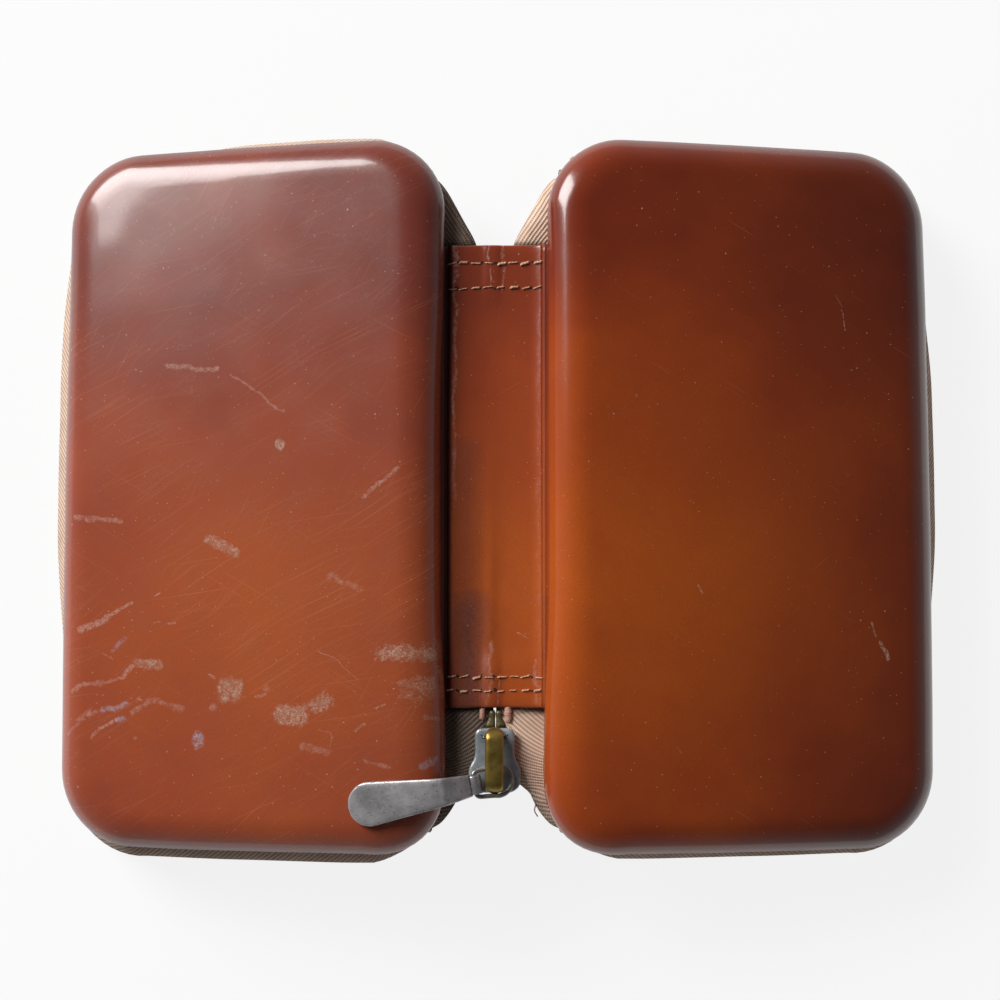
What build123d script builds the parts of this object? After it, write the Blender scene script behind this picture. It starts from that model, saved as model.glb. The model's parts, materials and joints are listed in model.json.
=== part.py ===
from build123d import *
import math
import os

# Zip manicure case, lying open on a table with its outside up: two moulded leather trays, a leather
# spine between them, a metal zip round their other three sides, and tool loops inside. It stands on
# the outer rows of its teeth, with both halves sloping down from the spine. Millimetres.
# Frame: origin on the table under the middle of the spine, +X across both halves, +Y along the spine
# away from the slider, +Z up. The left half is built at -X, and the right half is its mirror image.

# ---------------------------------------------------------------- driving dimensions: trays
tray_width = 78.0            # one half, from its spine wall to its outer wall
tray_length = 140.0
tray_depth = 8.0             # rim to the top edge, under the crown
corner_radius = 15.0         # in plan
edge_radius = 5.0            # round the top edge
crown_rise = 0.8             # middle of the top above its corners
cover_thickness = 1.2        # moulded leather
board_thickness = 1.2        # pressed fibre board
lining_thickness = 0.7
rim_lip = 1.0                # cover leather turned in under the board
glue_line = 0.05             # between layers that are glued together

# ---------------------------------------------------------------- driving dimensions: spine
spine_width = 19.0           # between the two fold lines
open_droop = 12.0            # degrees, slope of each half down from its fold line
spine_thickness = 1.2
spine_head_setback = 21.1    # trays' end to the spine's, away from the slider
spine_foot_setback = 27.9    # trays' end to the spine's, next to the slider
spine_lining_width = 14.4
spine_lining_setback = 3.0   # short of the spine leather at both ends
fold_clearance = 0.3         # round each fold line

# ---------------------------------------------------------------- driving dimensions: zip
tape_thickness = 0.8
tape_margin = 2.9            # sewn margin inside the tray wall
tape_splay = 2.5             # free edge of the tape, outside the tray wall
tape_setback = 4.4           # full width of the tape begins this far past the spine wall
tape_corner_drop = 2.6       # width of the tape where it turns in to the spine
tape_gap = 0.9               # free edge of a tape to the plane where the two halves meet
tail_under_spine = 8.0       # tape end sewn in under the spine
tooth_pitch = 2.6
tooth_width = 1.05           # along the tape
tooth_thickness = 2.4
tooth_mesh = 0.8             # reach of a tooth past the plane where the two halves meet
tooth_jaw = 1.4              # length of a tooth's jaws over the edge of the tape
tooth_grip = 0.05            # between a jaw and the tape
tooth_tip_share = 0.65       # thickness of a tooth's tip, as a share of its root
chain_teeth = 3              # closed teeth inside the slider, on each side
stop_length = 3.0
stop_split = 0.1             # half of the gap between the two foot stops

# ---------------------------------------------------------------- driving dimensions: slider and pull
slider_length = 12.4
slider_setback = 24.05       # trays' end to the slider's rear
slider_rear_width = 7.6
slider_mouth_width = 10.0
slider_height = 5.0
slider_plate = 1.2           # top and bottom plates
slider_slot = 1.3            # side slot that the tape runs in
slider_rail = 0.7            # lips beside that slot
slider_corner = 1.6
wedge_width = 2.4
wedge_length = 4.6
bridge_width = 3.4
bridge_thickness = 0.9
bridge_inner_length = 10.3
bridge_inner_height = 2.5
bridge_inner_radius = 1.5
bridge_leg_width = 2.2
bridge_overlap = 0.25        # bridge behind the slider's front edge
ring_wire = 1.1
ring_radius = 3.2            # wire centre, round the bridge's front leg
ring_bar_reach = 4.5         # ring centre to the straight bar that carries the tab
ring_corner = 1.0            # bends beside that bar
ring_lift = 1.4              # wire centre above the slider's top plate
ring_tilt = 13.0             # degrees, bar side up
ring_offset = 1.85           # ring centre behind the front leg's centre
ring_shift = 0.55            # and right of it
pull_heading = 190.0         # degrees in plan, where the tab points at rest
tab_length = 20.2            # bar to the centre of the tab's round end, in plan
tab_end_radius = 4.2
tab_neck_radius = 2.3
tab_thickness = 1.1
tab_neck_slope = 42.0        # degrees, from the bar up to the tray's top
tab_rest_gap = 0.45          # tab above the tray that it lies on
crimp_wall = 0.8
crimp_width = 4.1
running_gap = 0.08           # between the ring's bar and the tab's crimp

# ---------------------------------------------------------------- driving dimensions: inside
pad_border = 2.0             # lining left showing round a tool pad
pad_thickness = 2.2
pad_edge_radius = 1.0
strap_thickness = 0.9
strap_width = 13.0
strap_end_land = 2.2
loop_height = 5.5
loop_radius = 2.5
loop_land = 3.2              # stitched land between two loops
left_loops = 4
right_loops = 3
strap_y = 30.0               # middle of the upper strap; the lower strap is as far the other way
rim_band_height = 3.0
rim_band_thickness = 0.8

# ---------------------------------------------------------------- driving dimensions: thread
stitch_length = 1.9
stitch_pitch = 2.45
stitch_width = 0.5
stitch_height = 0.35
stitch_rounding = 0.14
seam_stitches = 7
land_stitches = 4
head_seams = (3.7, 8.7)      # from the head end of the spine
foot_seams = (3.3, 6.0)      # from its foot end

# ---------------------------------------------------------------- heights and places that follow
fold_x = spine_width / 2
spine_head_y = tray_length / 2 - spine_head_setback
spine_foot_y = spine_foot_setback - tray_length / 2
slider_rear_y = slider_setback - tray_length / 2
tray_wall_x = fold_x + spine_thickness / 2 + fold_clearance
tray_middle_x = tray_wall_x + tray_width / 2
closing_reach = fold_x - spine_thickness / 2          # rim to the plane where the closed halves meet
rim_z = closing_reach + tooth_mesh                    # the tips of the teeth are at z = 0 before the droop
fold_z = rim_z + spine_thickness / 2
spine_top_z = rim_z + spine_thickness
tray_top_z = rim_z + tray_depth
wall_inset = cover_thickness + board_thickness + glue_line
lining_inset = wall_inset + lining_thickness
tape_end_z = tooth_mesh + tape_gap
knee_z = tape_end_z + tooth_jaw + tooth_grip
crown_radius = (tray_width ** 2 + tray_length ** 2) / 8 / crown_rise
corner_y = tray_length / 2 - corner_radius
corner_x = tray_wall_x + corner_radius
tail_plane_z = rim_z - glue_line - tape_thickness / 2   # flat tape ends under the spine leather
tail_outer_x = closing_reach - fold_clearance
slider_front_y = slider_rear_y - slider_length
slider_top_z = tail_plane_z + slider_height / 2
tail_foot_y = slider_front_y + wedge_length + fold_clearance
tail_head_y = corner_y - fold_clearance
pad_z = tray_top_z - lining_inset - glue_line - pad_thickness
bridge_front_y = slider_front_y + bridge_overlap + bridge_thickness / 2
bridge_middle_y = bridge_front_y + (bridge_inner_length + bridge_thickness) / 2
ring_z = slider_top_z + ring_lift
bar_reach = ring_bar_reach * math.cos(math.radians(ring_tilt))
bar_z = ring_z + ring_bar_reach * math.sin(math.radians(ring_tilt))
crimp_bore = ring_wire / 2 + running_gap
droop = math.radians(open_droop)
tip_reach = tray_wall_x + tray_width + tape_splay + (tooth_thickness * tooth_tip_share - tape_thickness) / 2 - fold_x
stand_lift = tip_reach * math.sin(droop) + fold_z * math.cos(droop) - fold_z


# ---------------------------------------------------------------- shared shapes
def plan(inset, z):
    """A tray's outline at height z, taken in by inset, or let out where inset is negative."""
    outline = RectangleRounded(tray_width - 2 * inset, tray_length - 2 * inset, corner_radius - inset)
    return Pos(-tray_middle_x, 0, z) * outline


def crowned(block, inset):
    """A block over the tray, cut to the crown of the tray's top at this inset."""
    radius = crown_radius - inset
    centre_z = tray_top_z + crown_rise - crown_radius
    return block & (Pos(-tray_middle_x, 0, centre_z) * Rot(0, 90, 0) * Sphere(radius))


def tray_form(inset):
    """The solid form of a tray above its rim, inset from the cover's outside on its walls and top."""
    form = crowned(extrude(plan(inset, rim_z), amount=tray_depth + 2 * crown_rise), inset)
    return fillet(form.faces().sort_by(Axis.Z)[-1].edges(), edge_radius - inset)


def ring_wall(levels, thickness):
    """A wall that follows a tray's outline all round: levels are (height, outset of its outside)."""
    outside = loft([plan(-outset, z) for z, outset in levels], ruled=True)
    inside = loft([plan(thickness - outset, z) for z, outset in levels], ruled=True)
    return outside - inside


def slab(x_range, y_range, z_range):
    """A box between two corners."""
    size = [high - low for low, high in (x_range, y_range, z_range)]
    middle = [(low + high) / 2 for low, high in (x_range, y_range, z_range)]
    return Pos(*middle) * Box(*size)


def arch(inner_width, inner_height, thickness, inner_radius):
    """A flat-topped arch standing on the sketch's x axis."""
    outer = RectangleRounded(inner_width + 2 * thickness, 2 * (inner_height + thickness),
                             inner_radius + thickness)
    inner = RectangleRounded(inner_width, 2 * inner_height, inner_radius)
    above = Rectangle(4 * inner_width, 4 * inner_height, align=(Align.CENTER, Align.MIN))
    return (outer - inner) & above


def stitch():
    """One thread stitch along X, lying on z = 0."""
    bar = Box(stitch_length, stitch_width, stitch_height, align=(Align.CENTER, Align.CENTER, Align.MIN))
    return fillet(bar.edges().filter_by(Axis.X).group_by(Axis.Z)[-1], stitch_rounding)


def spaced(count, pitch):
    """Places of count things along a line, centred on 0."""
    return [(i - (count - 1) / 2) * pitch for i in range(count)]


def mirrored(shape):
    """The same piece on the right half."""
    return mirror(shape, about=Plane.YZ)


def drooped(shape):
    """A piece of the left half, turned down about its fold line."""
    return Pos(-fold_x, 0, fold_z) * Rot(0, -open_droop, 0) * Pos(fold_x, 0, -fold_z) * shape


# ---------------------------------------------------------------- tray layers, left half
def cover():
    """Moulded leather, turned in under the board's edge."""
    hollow = tray_form(cover_thickness) & extrude(plan(0, rim_z + rim_lip), amount=2 * tray_depth)
    mouth = extrude(plan(cover_thickness + board_thickness, rim_z - rim_lip), amount=3 * rim_lip)
    return tray_form(0) - hollow - mouth


def board():
    """Pressed board that keeps the leather's shape."""
    above_lip = extrude(plan(0, rim_z + rim_lip + glue_line), amount=2 * tray_depth)
    return (tray_form(cover_thickness + glue_line) & above_lip) - tray_form(cover_thickness + board_thickness)


def lining():
    """Thin leather inside the board, down to the tape's sewn margin."""
    above_tape = extrude(plan(0, rim_z + tape_margin + glue_line), amount=2 * tray_depth)
    return (tray_form(wall_inset) & above_tape) - tray_form(lining_inset)


def rim_band():
    """Strip that covers the tape's sewn margin, all round the inside of the rim."""
    outset = -(wall_inset + tape_thickness + glue_line)
    return ring_wall([(rim_z, outset), (rim_z + rim_band_height, outset)], rim_band_thickness)


# ---------------------------------------------------------------- zip round a half
def zip_tape():
    """Woven tape: a margin in the wall, a splayed band and an upright edge for the teeth."""
    wall = ring_wall([(rim_z + tape_margin, -wall_inset), (rim_z, -wall_inset),
                      (knee_z, tape_splay), (tape_end_z, tape_splay)], tape_thickness)
    far_x = -(tray_wall_x + tray_width + 2 * tape_splay)
    full_x = -(tray_wall_x + tape_setback)
    end_y = tray_length / 2 + 2 * tape_splay
    kept = slab((far_x, full_x), (-end_y, end_y), (0, tray_top_z))
    for side in (-1, 1):
        near, far = sorted((side * (corner_y + fold_clearance), side * end_y))
        kept += slab((full_x, 0), (near, far), (rim_z - tape_corner_drop, tray_top_z))
    return wall & kept


def teeth_path():
    """Line that the teeth follow, from the corner by the slider round to the spine's head."""
    radius = corner_radius + tape_splay - tape_thickness / 2
    start = math.degrees(math.acos((corner_radius - tape_setback) / radius))
    far_x = tray_wall_x + tray_width - corner_radius
    edge_x, edge_y = far_x + radius, corner_y + radius
    return Wire([
        CenterArc((-corner_x, -corner_y), radius, -start, start - 90).edge(),
        Line((-corner_x, -edge_y), (-far_x, -edge_y)).edge(),
        CenterArc((-far_x, -corner_y), radius, 270, -90).edge(),
        Line((-edge_x, -corner_y), (-edge_x, corner_y)).edge(),
        CenterArc((-far_x, corner_y), radius, 180, -90).edge(),
        Line((-far_x, edge_y), (-corner_x, edge_y)).edge(),
        CenterArc((-corner_x, corner_y), radius, 90, start - 90).edge(),
    ])


def tooth():
    """One tooth, pointing down with its tip at z = 0, its jaws either side of the tape at x = 0."""
    half, slot = tooth_thickness / 2, tape_thickness / 2 + tooth_grip
    tip, root, jaws = half * tooth_tip_share, tape_end_z - tooth_grip, tape_end_z + tooth_jaw
    profile = Plane.XZ * make_face(Polyline(
        (-half, jaws), (-half, tooth_mesh), (-tip, 0), (tip, 0), (half, tooth_mesh),
        (half, jaws), (slot, jaws), (slot, root), (-slot, root), (-slot, jaws), close=True))
    return extrude(profile, amount=tooth_width / 2, both=True)


def zip_teeth(phase):
    """Teeth all along the tape, starting phase pitches in, so that the closed rows mesh."""
    path, one = teeth_path(), tooth()
    count = int((path.length - tooth_width) / tooth_pitch - phase)
    row = []
    for i in range(count):
        along = tooth_width / 2 + (i + phase) * tooth_pitch
        place, heading = path @ (along / path.length), path % (along / path.length)
        angle = math.degrees(math.atan2(heading.Y, heading.X)) + 90
        row.append(Pos(place.X, place.Y, 0) * Rot(0, 0, angle) * one)
    return Compound(row)


# ---------------------------------------------------------------- inside of a half
def tool_pad():
    """Padded panel glued to the tray's floor, following its crown."""
    inset = lining_inset + glue_line
    block = extrude(plan(inset + pad_border, pad_z), amount=pad_thickness + 2 * crown_rise)
    pad = crowned(block, inset)
    return fillet(pad.faces().sort_by(Axis.Z)[0].edges(), pad_edge_radius)


def loop_pitch(count):
    """Spacing of a strap's loops."""
    pad_width = tray_width - 2 * (lining_inset + glue_line + pad_border)
    return (pad_width - 2 * strap_end_land - loop_land) / count


def tool_strap(count, y):
    """Strap across the pad, stitched down between its open loops, which hang below it."""
    pitch = loop_pitch(count)
    hoop = arch(pitch - loop_land - 2 * strap_thickness, loop_height, strap_thickness, loop_radius)
    land = Pos(0, strap_thickness / 2) * Rectangle(loop_land + strap_thickness, strap_thickness)
    profile = Sketch() + [Pos(x, 0) * hoop for x in spaced(count, pitch)]
    profile += [Pos(x, 0) * land for x in spaced(count + 1, pitch)]
    under_pad = Plane((-tray_middle_x, y, pad_z), x_dir=(1, 0, 0), z_dir=(0, 1, 0))
    return extrude(under_pad * profile, amount=strap_width / 2, both=True)


def strap_stitches(count):
    """Stitches through every land of both straps, on the side that faces the tools."""
    one = Pos(0, 0, pad_z - strap_thickness) * Rot(180, 0, 0) * Rot(0, 0, 90) * stitch()
    lands = [x - tray_middle_x for x in spaced(count + 1, loop_pitch(count))]
    rows = [side * strap_y + along for side in (-1, 1) for along in spaced(land_stitches, stitch_pitch)]
    return Compound([Pos(x, y, 0) * one for x in lands for y in rows])


# ---------------------------------------------------------------- spine
def spine_leather():
    """Strip between the fold lines, its long edges rounded about them."""
    length, middle = spine_head_y - spine_foot_y, (spine_head_y + spine_foot_y) / 2
    strip = Pos(0, middle, fold_z) * Box(spine_width, length, spine_thickness)
    for side in (-1, 1):
        strip += Pos(side * fold_x, middle, fold_z) * Rot(90, 0, 0) * Cylinder(spine_thickness / 2, length)
    return strip


def spine_lining():
    """Inner strip, glued up to the spine and stepped down under the sewn tape ends."""
    upper = rim_z - glue_line
    lower = upper - tape_thickness - 2 * glue_line
    step = lining_thickness + fold_clearance
    foot, head = spine_foot_y + tail_under_spine, spine_head_y - tail_under_spine
    top = [(spine_foot_y + spine_lining_setback, lower), (foot + fold_clearance, lower),
           (foot + fold_clearance + step, upper), (head - fold_clearance - step, upper),
           (head - fold_clearance, lower), (spine_head_y - spine_lining_setback, lower)]
    bottom = [(y, z - lining_thickness) for y, z in reversed(top)]
    return extrude(Plane.YZ * make_face(Polyline(*top, *bottom, close=True)),
                   amount=spine_lining_width / 2, both=True)


def tape_ends():
    """Flat ends of the left tape beside the spine's centre line, at its foot and its head."""
    across = (-tail_outer_x, -tape_gap)
    level = (tail_plane_z - tape_thickness / 2, tail_plane_z + tape_thickness / 2)
    foot = slab(across, (tail_foot_y, spine_foot_y + tail_under_spine), level)
    head = slab(across, (spine_head_y - tail_under_spine, tail_head_y), level)
    return Compound([foot, head])


def seam(y):
    """One row of stitches across the spine."""
    return Compound([Pos(x, y, spine_top_z) * stitch() for x in spaced(seam_stitches, stitch_pitch)])


def clasp(inner_x, length):
    """A small block closed over the left tape's edge, from inner_x out over the tape."""
    half, slot = tooth_thickness / 2, tape_thickness / 2 + tooth_grip
    outer_x, root_x = tape_gap + tooth_jaw, tape_gap - tooth_grip
    block = slab((-outer_x, inner_x), (-length / 2, length / 2), (-half, half))
    return block - slab((-outer_x, -root_x), (-length / 2, length / 2), (-slot, slot))


def closed_chain():
    """Closed teeth inside the slider, on both tape ends, half a pitch apart."""
    one = clasp(tooth_mesh, tooth_width)
    teeth = []
    for i in range(chain_teeth):
        y = slider_rear_y - tooth_width / 2 - i * tooth_pitch
        teeth.append(Pos(0, y, tail_plane_z) * one)
        teeth.append(Pos(0, y - tooth_pitch / 2, tail_plane_z) * mirrored(one))
    return Compound(teeth)


def foot_stops():
    """The two stops between the spine and the slider."""
    one = Pos(0, slider_rear_y + fold_clearance + stop_length / 2, tail_plane_z) * clasp(-stop_split, stop_length)
    return Compound([one, mirrored(one)])


def head_stop():
    """Staple under both tape ends at the spine's head, covered by the leather, its web between them."""
    half_x, web_x = tape_gap + tooth_jaw, tape_gap - tooth_grip
    across_y = (spine_head_y - spine_lining_setback + fold_clearance, spine_head_y - fold_clearance)
    slot_z = tail_plane_z - tape_thickness / 2 - tooth_grip
    bar = slab((-half_x, half_x), across_y, (tail_plane_z - tooth_thickness / 2, slot_z))
    return bar + slab((-web_x, web_x), across_y, (slot_z, tail_plane_z + tape_thickness / 2))


# ---------------------------------------------------------------- slider
def slider_plan(z, taken_in=0.0):
    """Outline of the slider at height z: narrow at the rear, flared at its mouth."""
    rear, mouth = slider_rear_width / 2 - taken_in, slider_mouth_width / 2 - taken_in
    waist_y = slider_front_y + wedge_length + slider_rail
    outline = make_face(Polyline((-rear, slider_rear_y), (rear, slider_rear_y), (rear, waist_y),
                                 (mouth, slider_front_y), (-mouth, slider_front_y),
                                 (-rear, waist_y), close=True))
    return Pos(0, 0, z) * outline


def slider_body():
    """Two plates joined by the wedge at the mouth, with lips along the tape slots."""
    half, channel = slider_height / 2, slider_height / 2 - slider_plate
    block = extrude(slider_plan(tail_plane_z - half), amount=slider_height)
    block = fillet(block.edges().filter_by(Axis.Z).group_by(Axis.Y)[-1], slider_corner)
    block = fillet(block.edges().filter_by(Axis.Z).group_by(Axis.Y)[0], slider_corner)
    through_y = slider_length + slider_rail
    middle_y = (slider_rear_y + slider_front_y) / 2
    cut = extrude(slider_plan(tail_plane_z - channel, slider_rail), amount=2 * channel)
    ends = slab((-slider_rear_width / 2 + slider_rail, slider_rear_width / 2 - slider_rail),
                (slider_front_y - slider_rail, slider_rear_y + slider_rail),
                (tail_plane_z - channel, tail_plane_z + channel))
    mouth = slab((-slider_mouth_width / 2 + slider_rail, slider_mouth_width / 2 - slider_rail),
                 (slider_front_y - slider_rail, slider_front_y + slider_rail),
                 (tail_plane_z - channel, tail_plane_z + channel))
    slots = Pos(0, middle_y, tail_plane_z) * Box(2 * slider_mouth_width, through_y, slider_slot)
    wedge = Pos(0, 0, tail_plane_z - half + slider_plate / 2) * make_face(Polyline(
        (-wedge_width / 2, slider_front_y + slider_rail), (wedge_width / 2, slider_front_y + slider_rail),
        (wedge_width / 4, slider_front_y + wedge_length), (-wedge_width / 4, slider_front_y + wedge_length),
        close=True))
    return block - cut - ends - mouth - slots + extrude(wedge, amount=slider_height - slider_plate)


def slider_bridge():
    """Flat strap on the top plate, its legs narrowed where the ring turns round them."""
    profile = arch(bridge_inner_length, bridge_inner_height, bridge_thickness, bridge_inner_radius)
    side = Plane((0, bridge_middle_y, slider_top_z), x_dir=(0, 1, 0), z_dir=(1, 0, 0))
    strap = extrude(side * profile, amount=bridge_width / 2, both=True)
    length = bridge_inner_length + 2 * bridge_thickness
    leg_room = (bridge_middle_y - length, bridge_middle_y + length)
    for sign in (-1, 1):
        across = sorted((sign * bridge_leg_width / 2, sign * bridge_width))
        strap -= slab(tuple(across), leg_room, (slider_top_z, slider_top_z + bridge_inner_height))
    return strap


# ---------------------------------------------------------------- pull, built along +X from the ring's centre
def pull_ring():
    """Wire ring with a straight bar for the tab."""
    side, bar = ring_radius, ring_bar_reach
    path = Wire([
        CenterArc((0, 0), side, 90, 180).edge(),
        Line((0, -side), (bar - ring_corner, -side)).edge(),
        CenterArc((bar - ring_corner, ring_corner - side), ring_corner, 270, 90).edge(),
        Line((bar, ring_corner - side), (bar, side - ring_corner)).edge(),
        CenterArc((bar - ring_corner, side - ring_corner), ring_corner, 0, 90).edge(),
        Line((bar - ring_corner, side), (0, side)).edge(),
    ])
    section = Plane((bar, 0, 0), x_dir=(1, 0, 0), z_dir=(0, 1, 0)) * Circle(ring_wire / 2)
    ring = sweep(section, path=path)
    return Rot(0, -ring_tilt, 0) * ring


def tray_height(x, y):
    """Height of the drooped left tray's crowned top above a point of the table, before the lift."""
    top = tray_top_z + crown_rise - fold_z
    across = (x + fold_x + top * math.sin(droop)) / math.cos(droop)
    away = (across - fold_x + tray_middle_x) ** 2 + y ** 2
    return fold_z + across * math.sin(droop) + (top - away / 2 / crown_radius) * math.cos(droop)


def pull_tab():
    """Leaf-shaped tab with a raised neck, crimped round the ring's bar, lying along the sloping tray."""
    leaf_end = tab_length + tab_end_radius
    turn = math.radians(pull_heading - 180)
    tip_x, tip_y = ring_shift - (bar_reach + leaf_end) * math.cos(turn), bridge_front_y + ring_offset
    fall = math.tan(droop) * math.cos(turn)
    lying_z = tray_height(tip_x, tip_y) + (tab_rest_gap + tab_thickness / 2) / math.cos(droop)
    neck_rise = math.tan(math.radians(tab_neck_slope))
    bend_x = (lying_z - bar_z + fall * leaf_end) / (neck_rise + fall)
    bend_z = bend_x * neck_rise
    neck_length, leaf_length = math.hypot(bend_x, bend_z), math.hypot(leaf_end - bend_x, fall * (leaf_end - bend_x))
    side = Pos(bend_x / 2, bend_z / 2) * Rot(0, 0, tab_neck_slope) * Rectangle(neck_length, tab_thickness)
    side += Pos(bend_x, bend_z) * Circle(tab_thickness / 2)
    side += (Pos((bend_x + leaf_end) / 2, bend_z - fall * (leaf_end - bend_x) / 2)
             * Rot(0, 0, -math.degrees(math.atan(fall))) * Rectangle(leaf_length, tab_thickness))
    side += Circle(crimp_bore + crimp_wall)
    side -= Circle(crimp_bore)
    body = extrude(Plane.XZ * side, amount=2 * tab_end_radius, both=True)
    leaf = make_hull(Sketch([Pos(tab_length, 0) * Circle(tab_end_radius),
                             Pos(bend_x, 0) * Circle(tab_neck_radius)]).edges())
    neck = Rectangle(bend_x + 2 * crimp_width, crimp_width, align=(Align.MIN, Align.CENTER))
    outline = leaf + Pos(-crimp_width, 0) * neck
    tab = body & extrude(Pos(0, 0, -tray_depth) * outline, amount=4 * tray_depth)
    return Pos(bar_reach, 0, bar_z - ring_z) * tab


def on_slider(shape):
    """Turns a piece of the pull to its heading and puts it round the bridge's front leg."""
    return Pos(ring_shift, bridge_front_y + ring_offset, ring_z) * Rot(0, 0, pull_heading) * shape


def half_nodes(loops, phase):
    """The pieces of one half, built on the left."""
    return {"cover": cover(), "board": board(), "lining": lining(), "rim_band": rim_band(),
            "zip_tape": zip_tape(), "zip_teeth": zip_teeth(phase), "tool_pad": tool_pad(),
            "upper_strap": tool_strap(loops, strap_y), "lower_strap": tool_strap(loops, -strap_y),
            "strap_stitches": strap_stitches(loops)}


def all_nodes():
    """Every piece of the case, by its node's name."""
    nodes = {f"left_{name}": drooped(shape) for name, shape in half_nodes(left_loops, 0.25).items()}
    nodes.update({f"right_{name}": mirrored(drooped(shape)) for name, shape in half_nodes(right_loops, 0.75).items()})
    left_ends = tape_ends()
    nodes.update({
        "spine_leather": spine_leather(), "spine_lining": spine_lining(),
        "left_tape_ends": left_ends, "right_tape_ends": mirrored(left_ends),
        "head_seam_outer": seam(spine_head_y - head_seams[0]),
        "head_seam_inner": seam(spine_head_y - head_seams[1]),
        "foot_seam_outer": seam(spine_foot_y + foot_seams[0]),
        "foot_seam_inner": seam(spine_foot_y + foot_seams[1]),
        "foot_stops": foot_stops(), "head_stop": head_stop(), "closed_chain": closed_chain(),
        "slider_body": slider_body(), "slider_bridge": slider_bridge(),
        "pull_ring": on_slider(pull_ring()), "pull_tab": on_slider(pull_tab()),
    })
    return {name: Pos(0, 0, stand_lift) * shape for name, shape in nodes.items()}


if __name__ == "__main__":
    os.makedirs("parts", exist_ok=True)
    for node, shape in all_nodes().items():
        export_step(shape, f"parts/{node}.step")
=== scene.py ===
import json
import math
import random
import bmesh
import bpy
import numpy as np
from mathutils import Matrix, Vector, noise


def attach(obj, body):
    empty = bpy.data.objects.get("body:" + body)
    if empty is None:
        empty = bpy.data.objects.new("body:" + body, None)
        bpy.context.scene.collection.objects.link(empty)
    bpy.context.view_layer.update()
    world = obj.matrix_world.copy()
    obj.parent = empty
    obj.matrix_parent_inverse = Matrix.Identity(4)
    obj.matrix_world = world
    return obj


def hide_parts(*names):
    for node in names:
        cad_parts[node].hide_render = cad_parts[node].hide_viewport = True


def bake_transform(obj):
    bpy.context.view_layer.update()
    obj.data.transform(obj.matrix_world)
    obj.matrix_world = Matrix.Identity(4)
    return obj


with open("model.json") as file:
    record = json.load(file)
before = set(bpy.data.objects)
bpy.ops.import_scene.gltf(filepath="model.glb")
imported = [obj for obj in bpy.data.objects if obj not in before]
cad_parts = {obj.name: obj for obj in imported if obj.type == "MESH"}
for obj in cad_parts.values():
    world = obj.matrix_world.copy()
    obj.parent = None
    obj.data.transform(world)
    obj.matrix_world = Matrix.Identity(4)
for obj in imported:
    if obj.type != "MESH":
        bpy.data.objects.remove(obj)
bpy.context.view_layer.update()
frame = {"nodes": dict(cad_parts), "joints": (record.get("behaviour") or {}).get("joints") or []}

# ------------------------------------------------------------------ sizes, in millimetres, as in the part's source
TRAY_W, TRAY_L, TRAY_DEPTH = 78.0, 140.0, 8.0
CORNER_R, CROWN = 15.0, 0.8
SHOULDER = (7.0, 5.3)           # width and depth of the tray's rounded edge
SPINE_W, SPINE_T, HEAD_Y, FOOT_Y = 19.0, 1.2, 48.9, -42.1
WALL_INSET, LINING_INSET = 2.45, 3.15
TAPE_T, TAPE_SPLAY, TAPE_SETBACK, TAPE_GAP = 0.8, 2.5, 4.4, 0.9
PITCH, TOOTH_W, TOOTH_T, TOOTH_MESH = 2.6, 1.05, 2.4, 0.8
SLIDER_REAR_Y, SLIDER_LENGTH, SLIDER_HEIGHT = -45.95, 12.4, 5.0
RING_REACH, RING_TILT, RING_LIFT, RING_OFFSET, RING_SHIFT = 4.5, 13.0, 1.4, 1.85, 0.55
PULL_HEADING, TAB_LENGTH, TAB_END_R, TAB_T, TAB_SLOPE = 190.0, 20.2, 4.2, 1.1, 42.0
PAD_BORDER, PAD_T = 2.0, 2.2
BOW = 0.4                       # the old trays' sides swell this much at their middles
SKIN = TAPE_T * 0.42 / 1000     # from the tape's middle to its skin, in metres
STITCH_PITCH, STITCHES = 2.45, 8
# the same strengths set how dark the painted shadow on the spine is
MARK_GROUND, MARK_RIDGE, MARK_DULL = 0.62, 0.62, 0.30   # how strongly a worn mark colours and dulls the hide

folds = [joint for joint in frame["joints"] if joint["name"].endswith("_fold")]
DROOP = math.radians(90 - max(folds[0]["range_deg"]))
SIN, COS = math.sin(DROOP), math.cos(DROOP)
FOLD_X = SPINE_W / 2
WALL_X = FOLD_X + SPINE_T / 2 + 0.3
MIDDLE_X = WALL_X + TRAY_W / 2
RIM_Z = FOLD_X - SPINE_T / 2 + TOOTH_MESH
FOLD_Z = RIM_Z + SPINE_T / 2
TOP_Z = RIM_Z + TRAY_DEPTH
TAPE_END_Z = TOOTH_MESH + TAPE_GAP
TAIL_Z = RIM_Z - 0.05 - TAPE_T / 2
CROWN_R = (TRAY_W ** 2 + TRAY_L ** 2) / 8 / CROWN
CORNER_X, CORNER_Y = TRAY_W / 2 - CORNER_R, TRAY_L / 2 - CORNER_R
TIP_REACH = WALL_X + TRAY_W + TAPE_SPLAY + (TOOTH_T * 0.65 - TAPE_T) / 2 - FOLD_X
LIFT = TIP_REACH * SIN + FOLD_Z * COS - FOLD_Z
PAD_Z = TOP_Z - LINING_INSET - 0.05 - PAD_T
SLIDER_TOP = TAIL_Z + SLIDER_HEIGHT / 2
BRIDGE_Y = SLIDER_REAR_Y - SLIDER_LENGTH + 0.25 + 0.45
RING_Y, RING_Z = BRIDGE_Y + RING_OFFSET, SLIDER_TOP + RING_LIFT
SIDES = (("left", -1), ("right", 1))


# ------------------------------------------------------------------ places
def stand(points, side):
    """Points of the left half before it droops, in mm, moved to where the half stands, in metres."""
    p = np.asarray(points, float).reshape(-1, 3)
    u, v = p[:, 0] + FOLD_X, p[:, 2] - FOLD_Z
    x = -FOLD_X + u * COS - v * SIN
    z = FOLD_Z + u * SIN + v * COS + LIFT
    return np.stack([-side * x, p[:, 1], z], 1) / 1000


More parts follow.
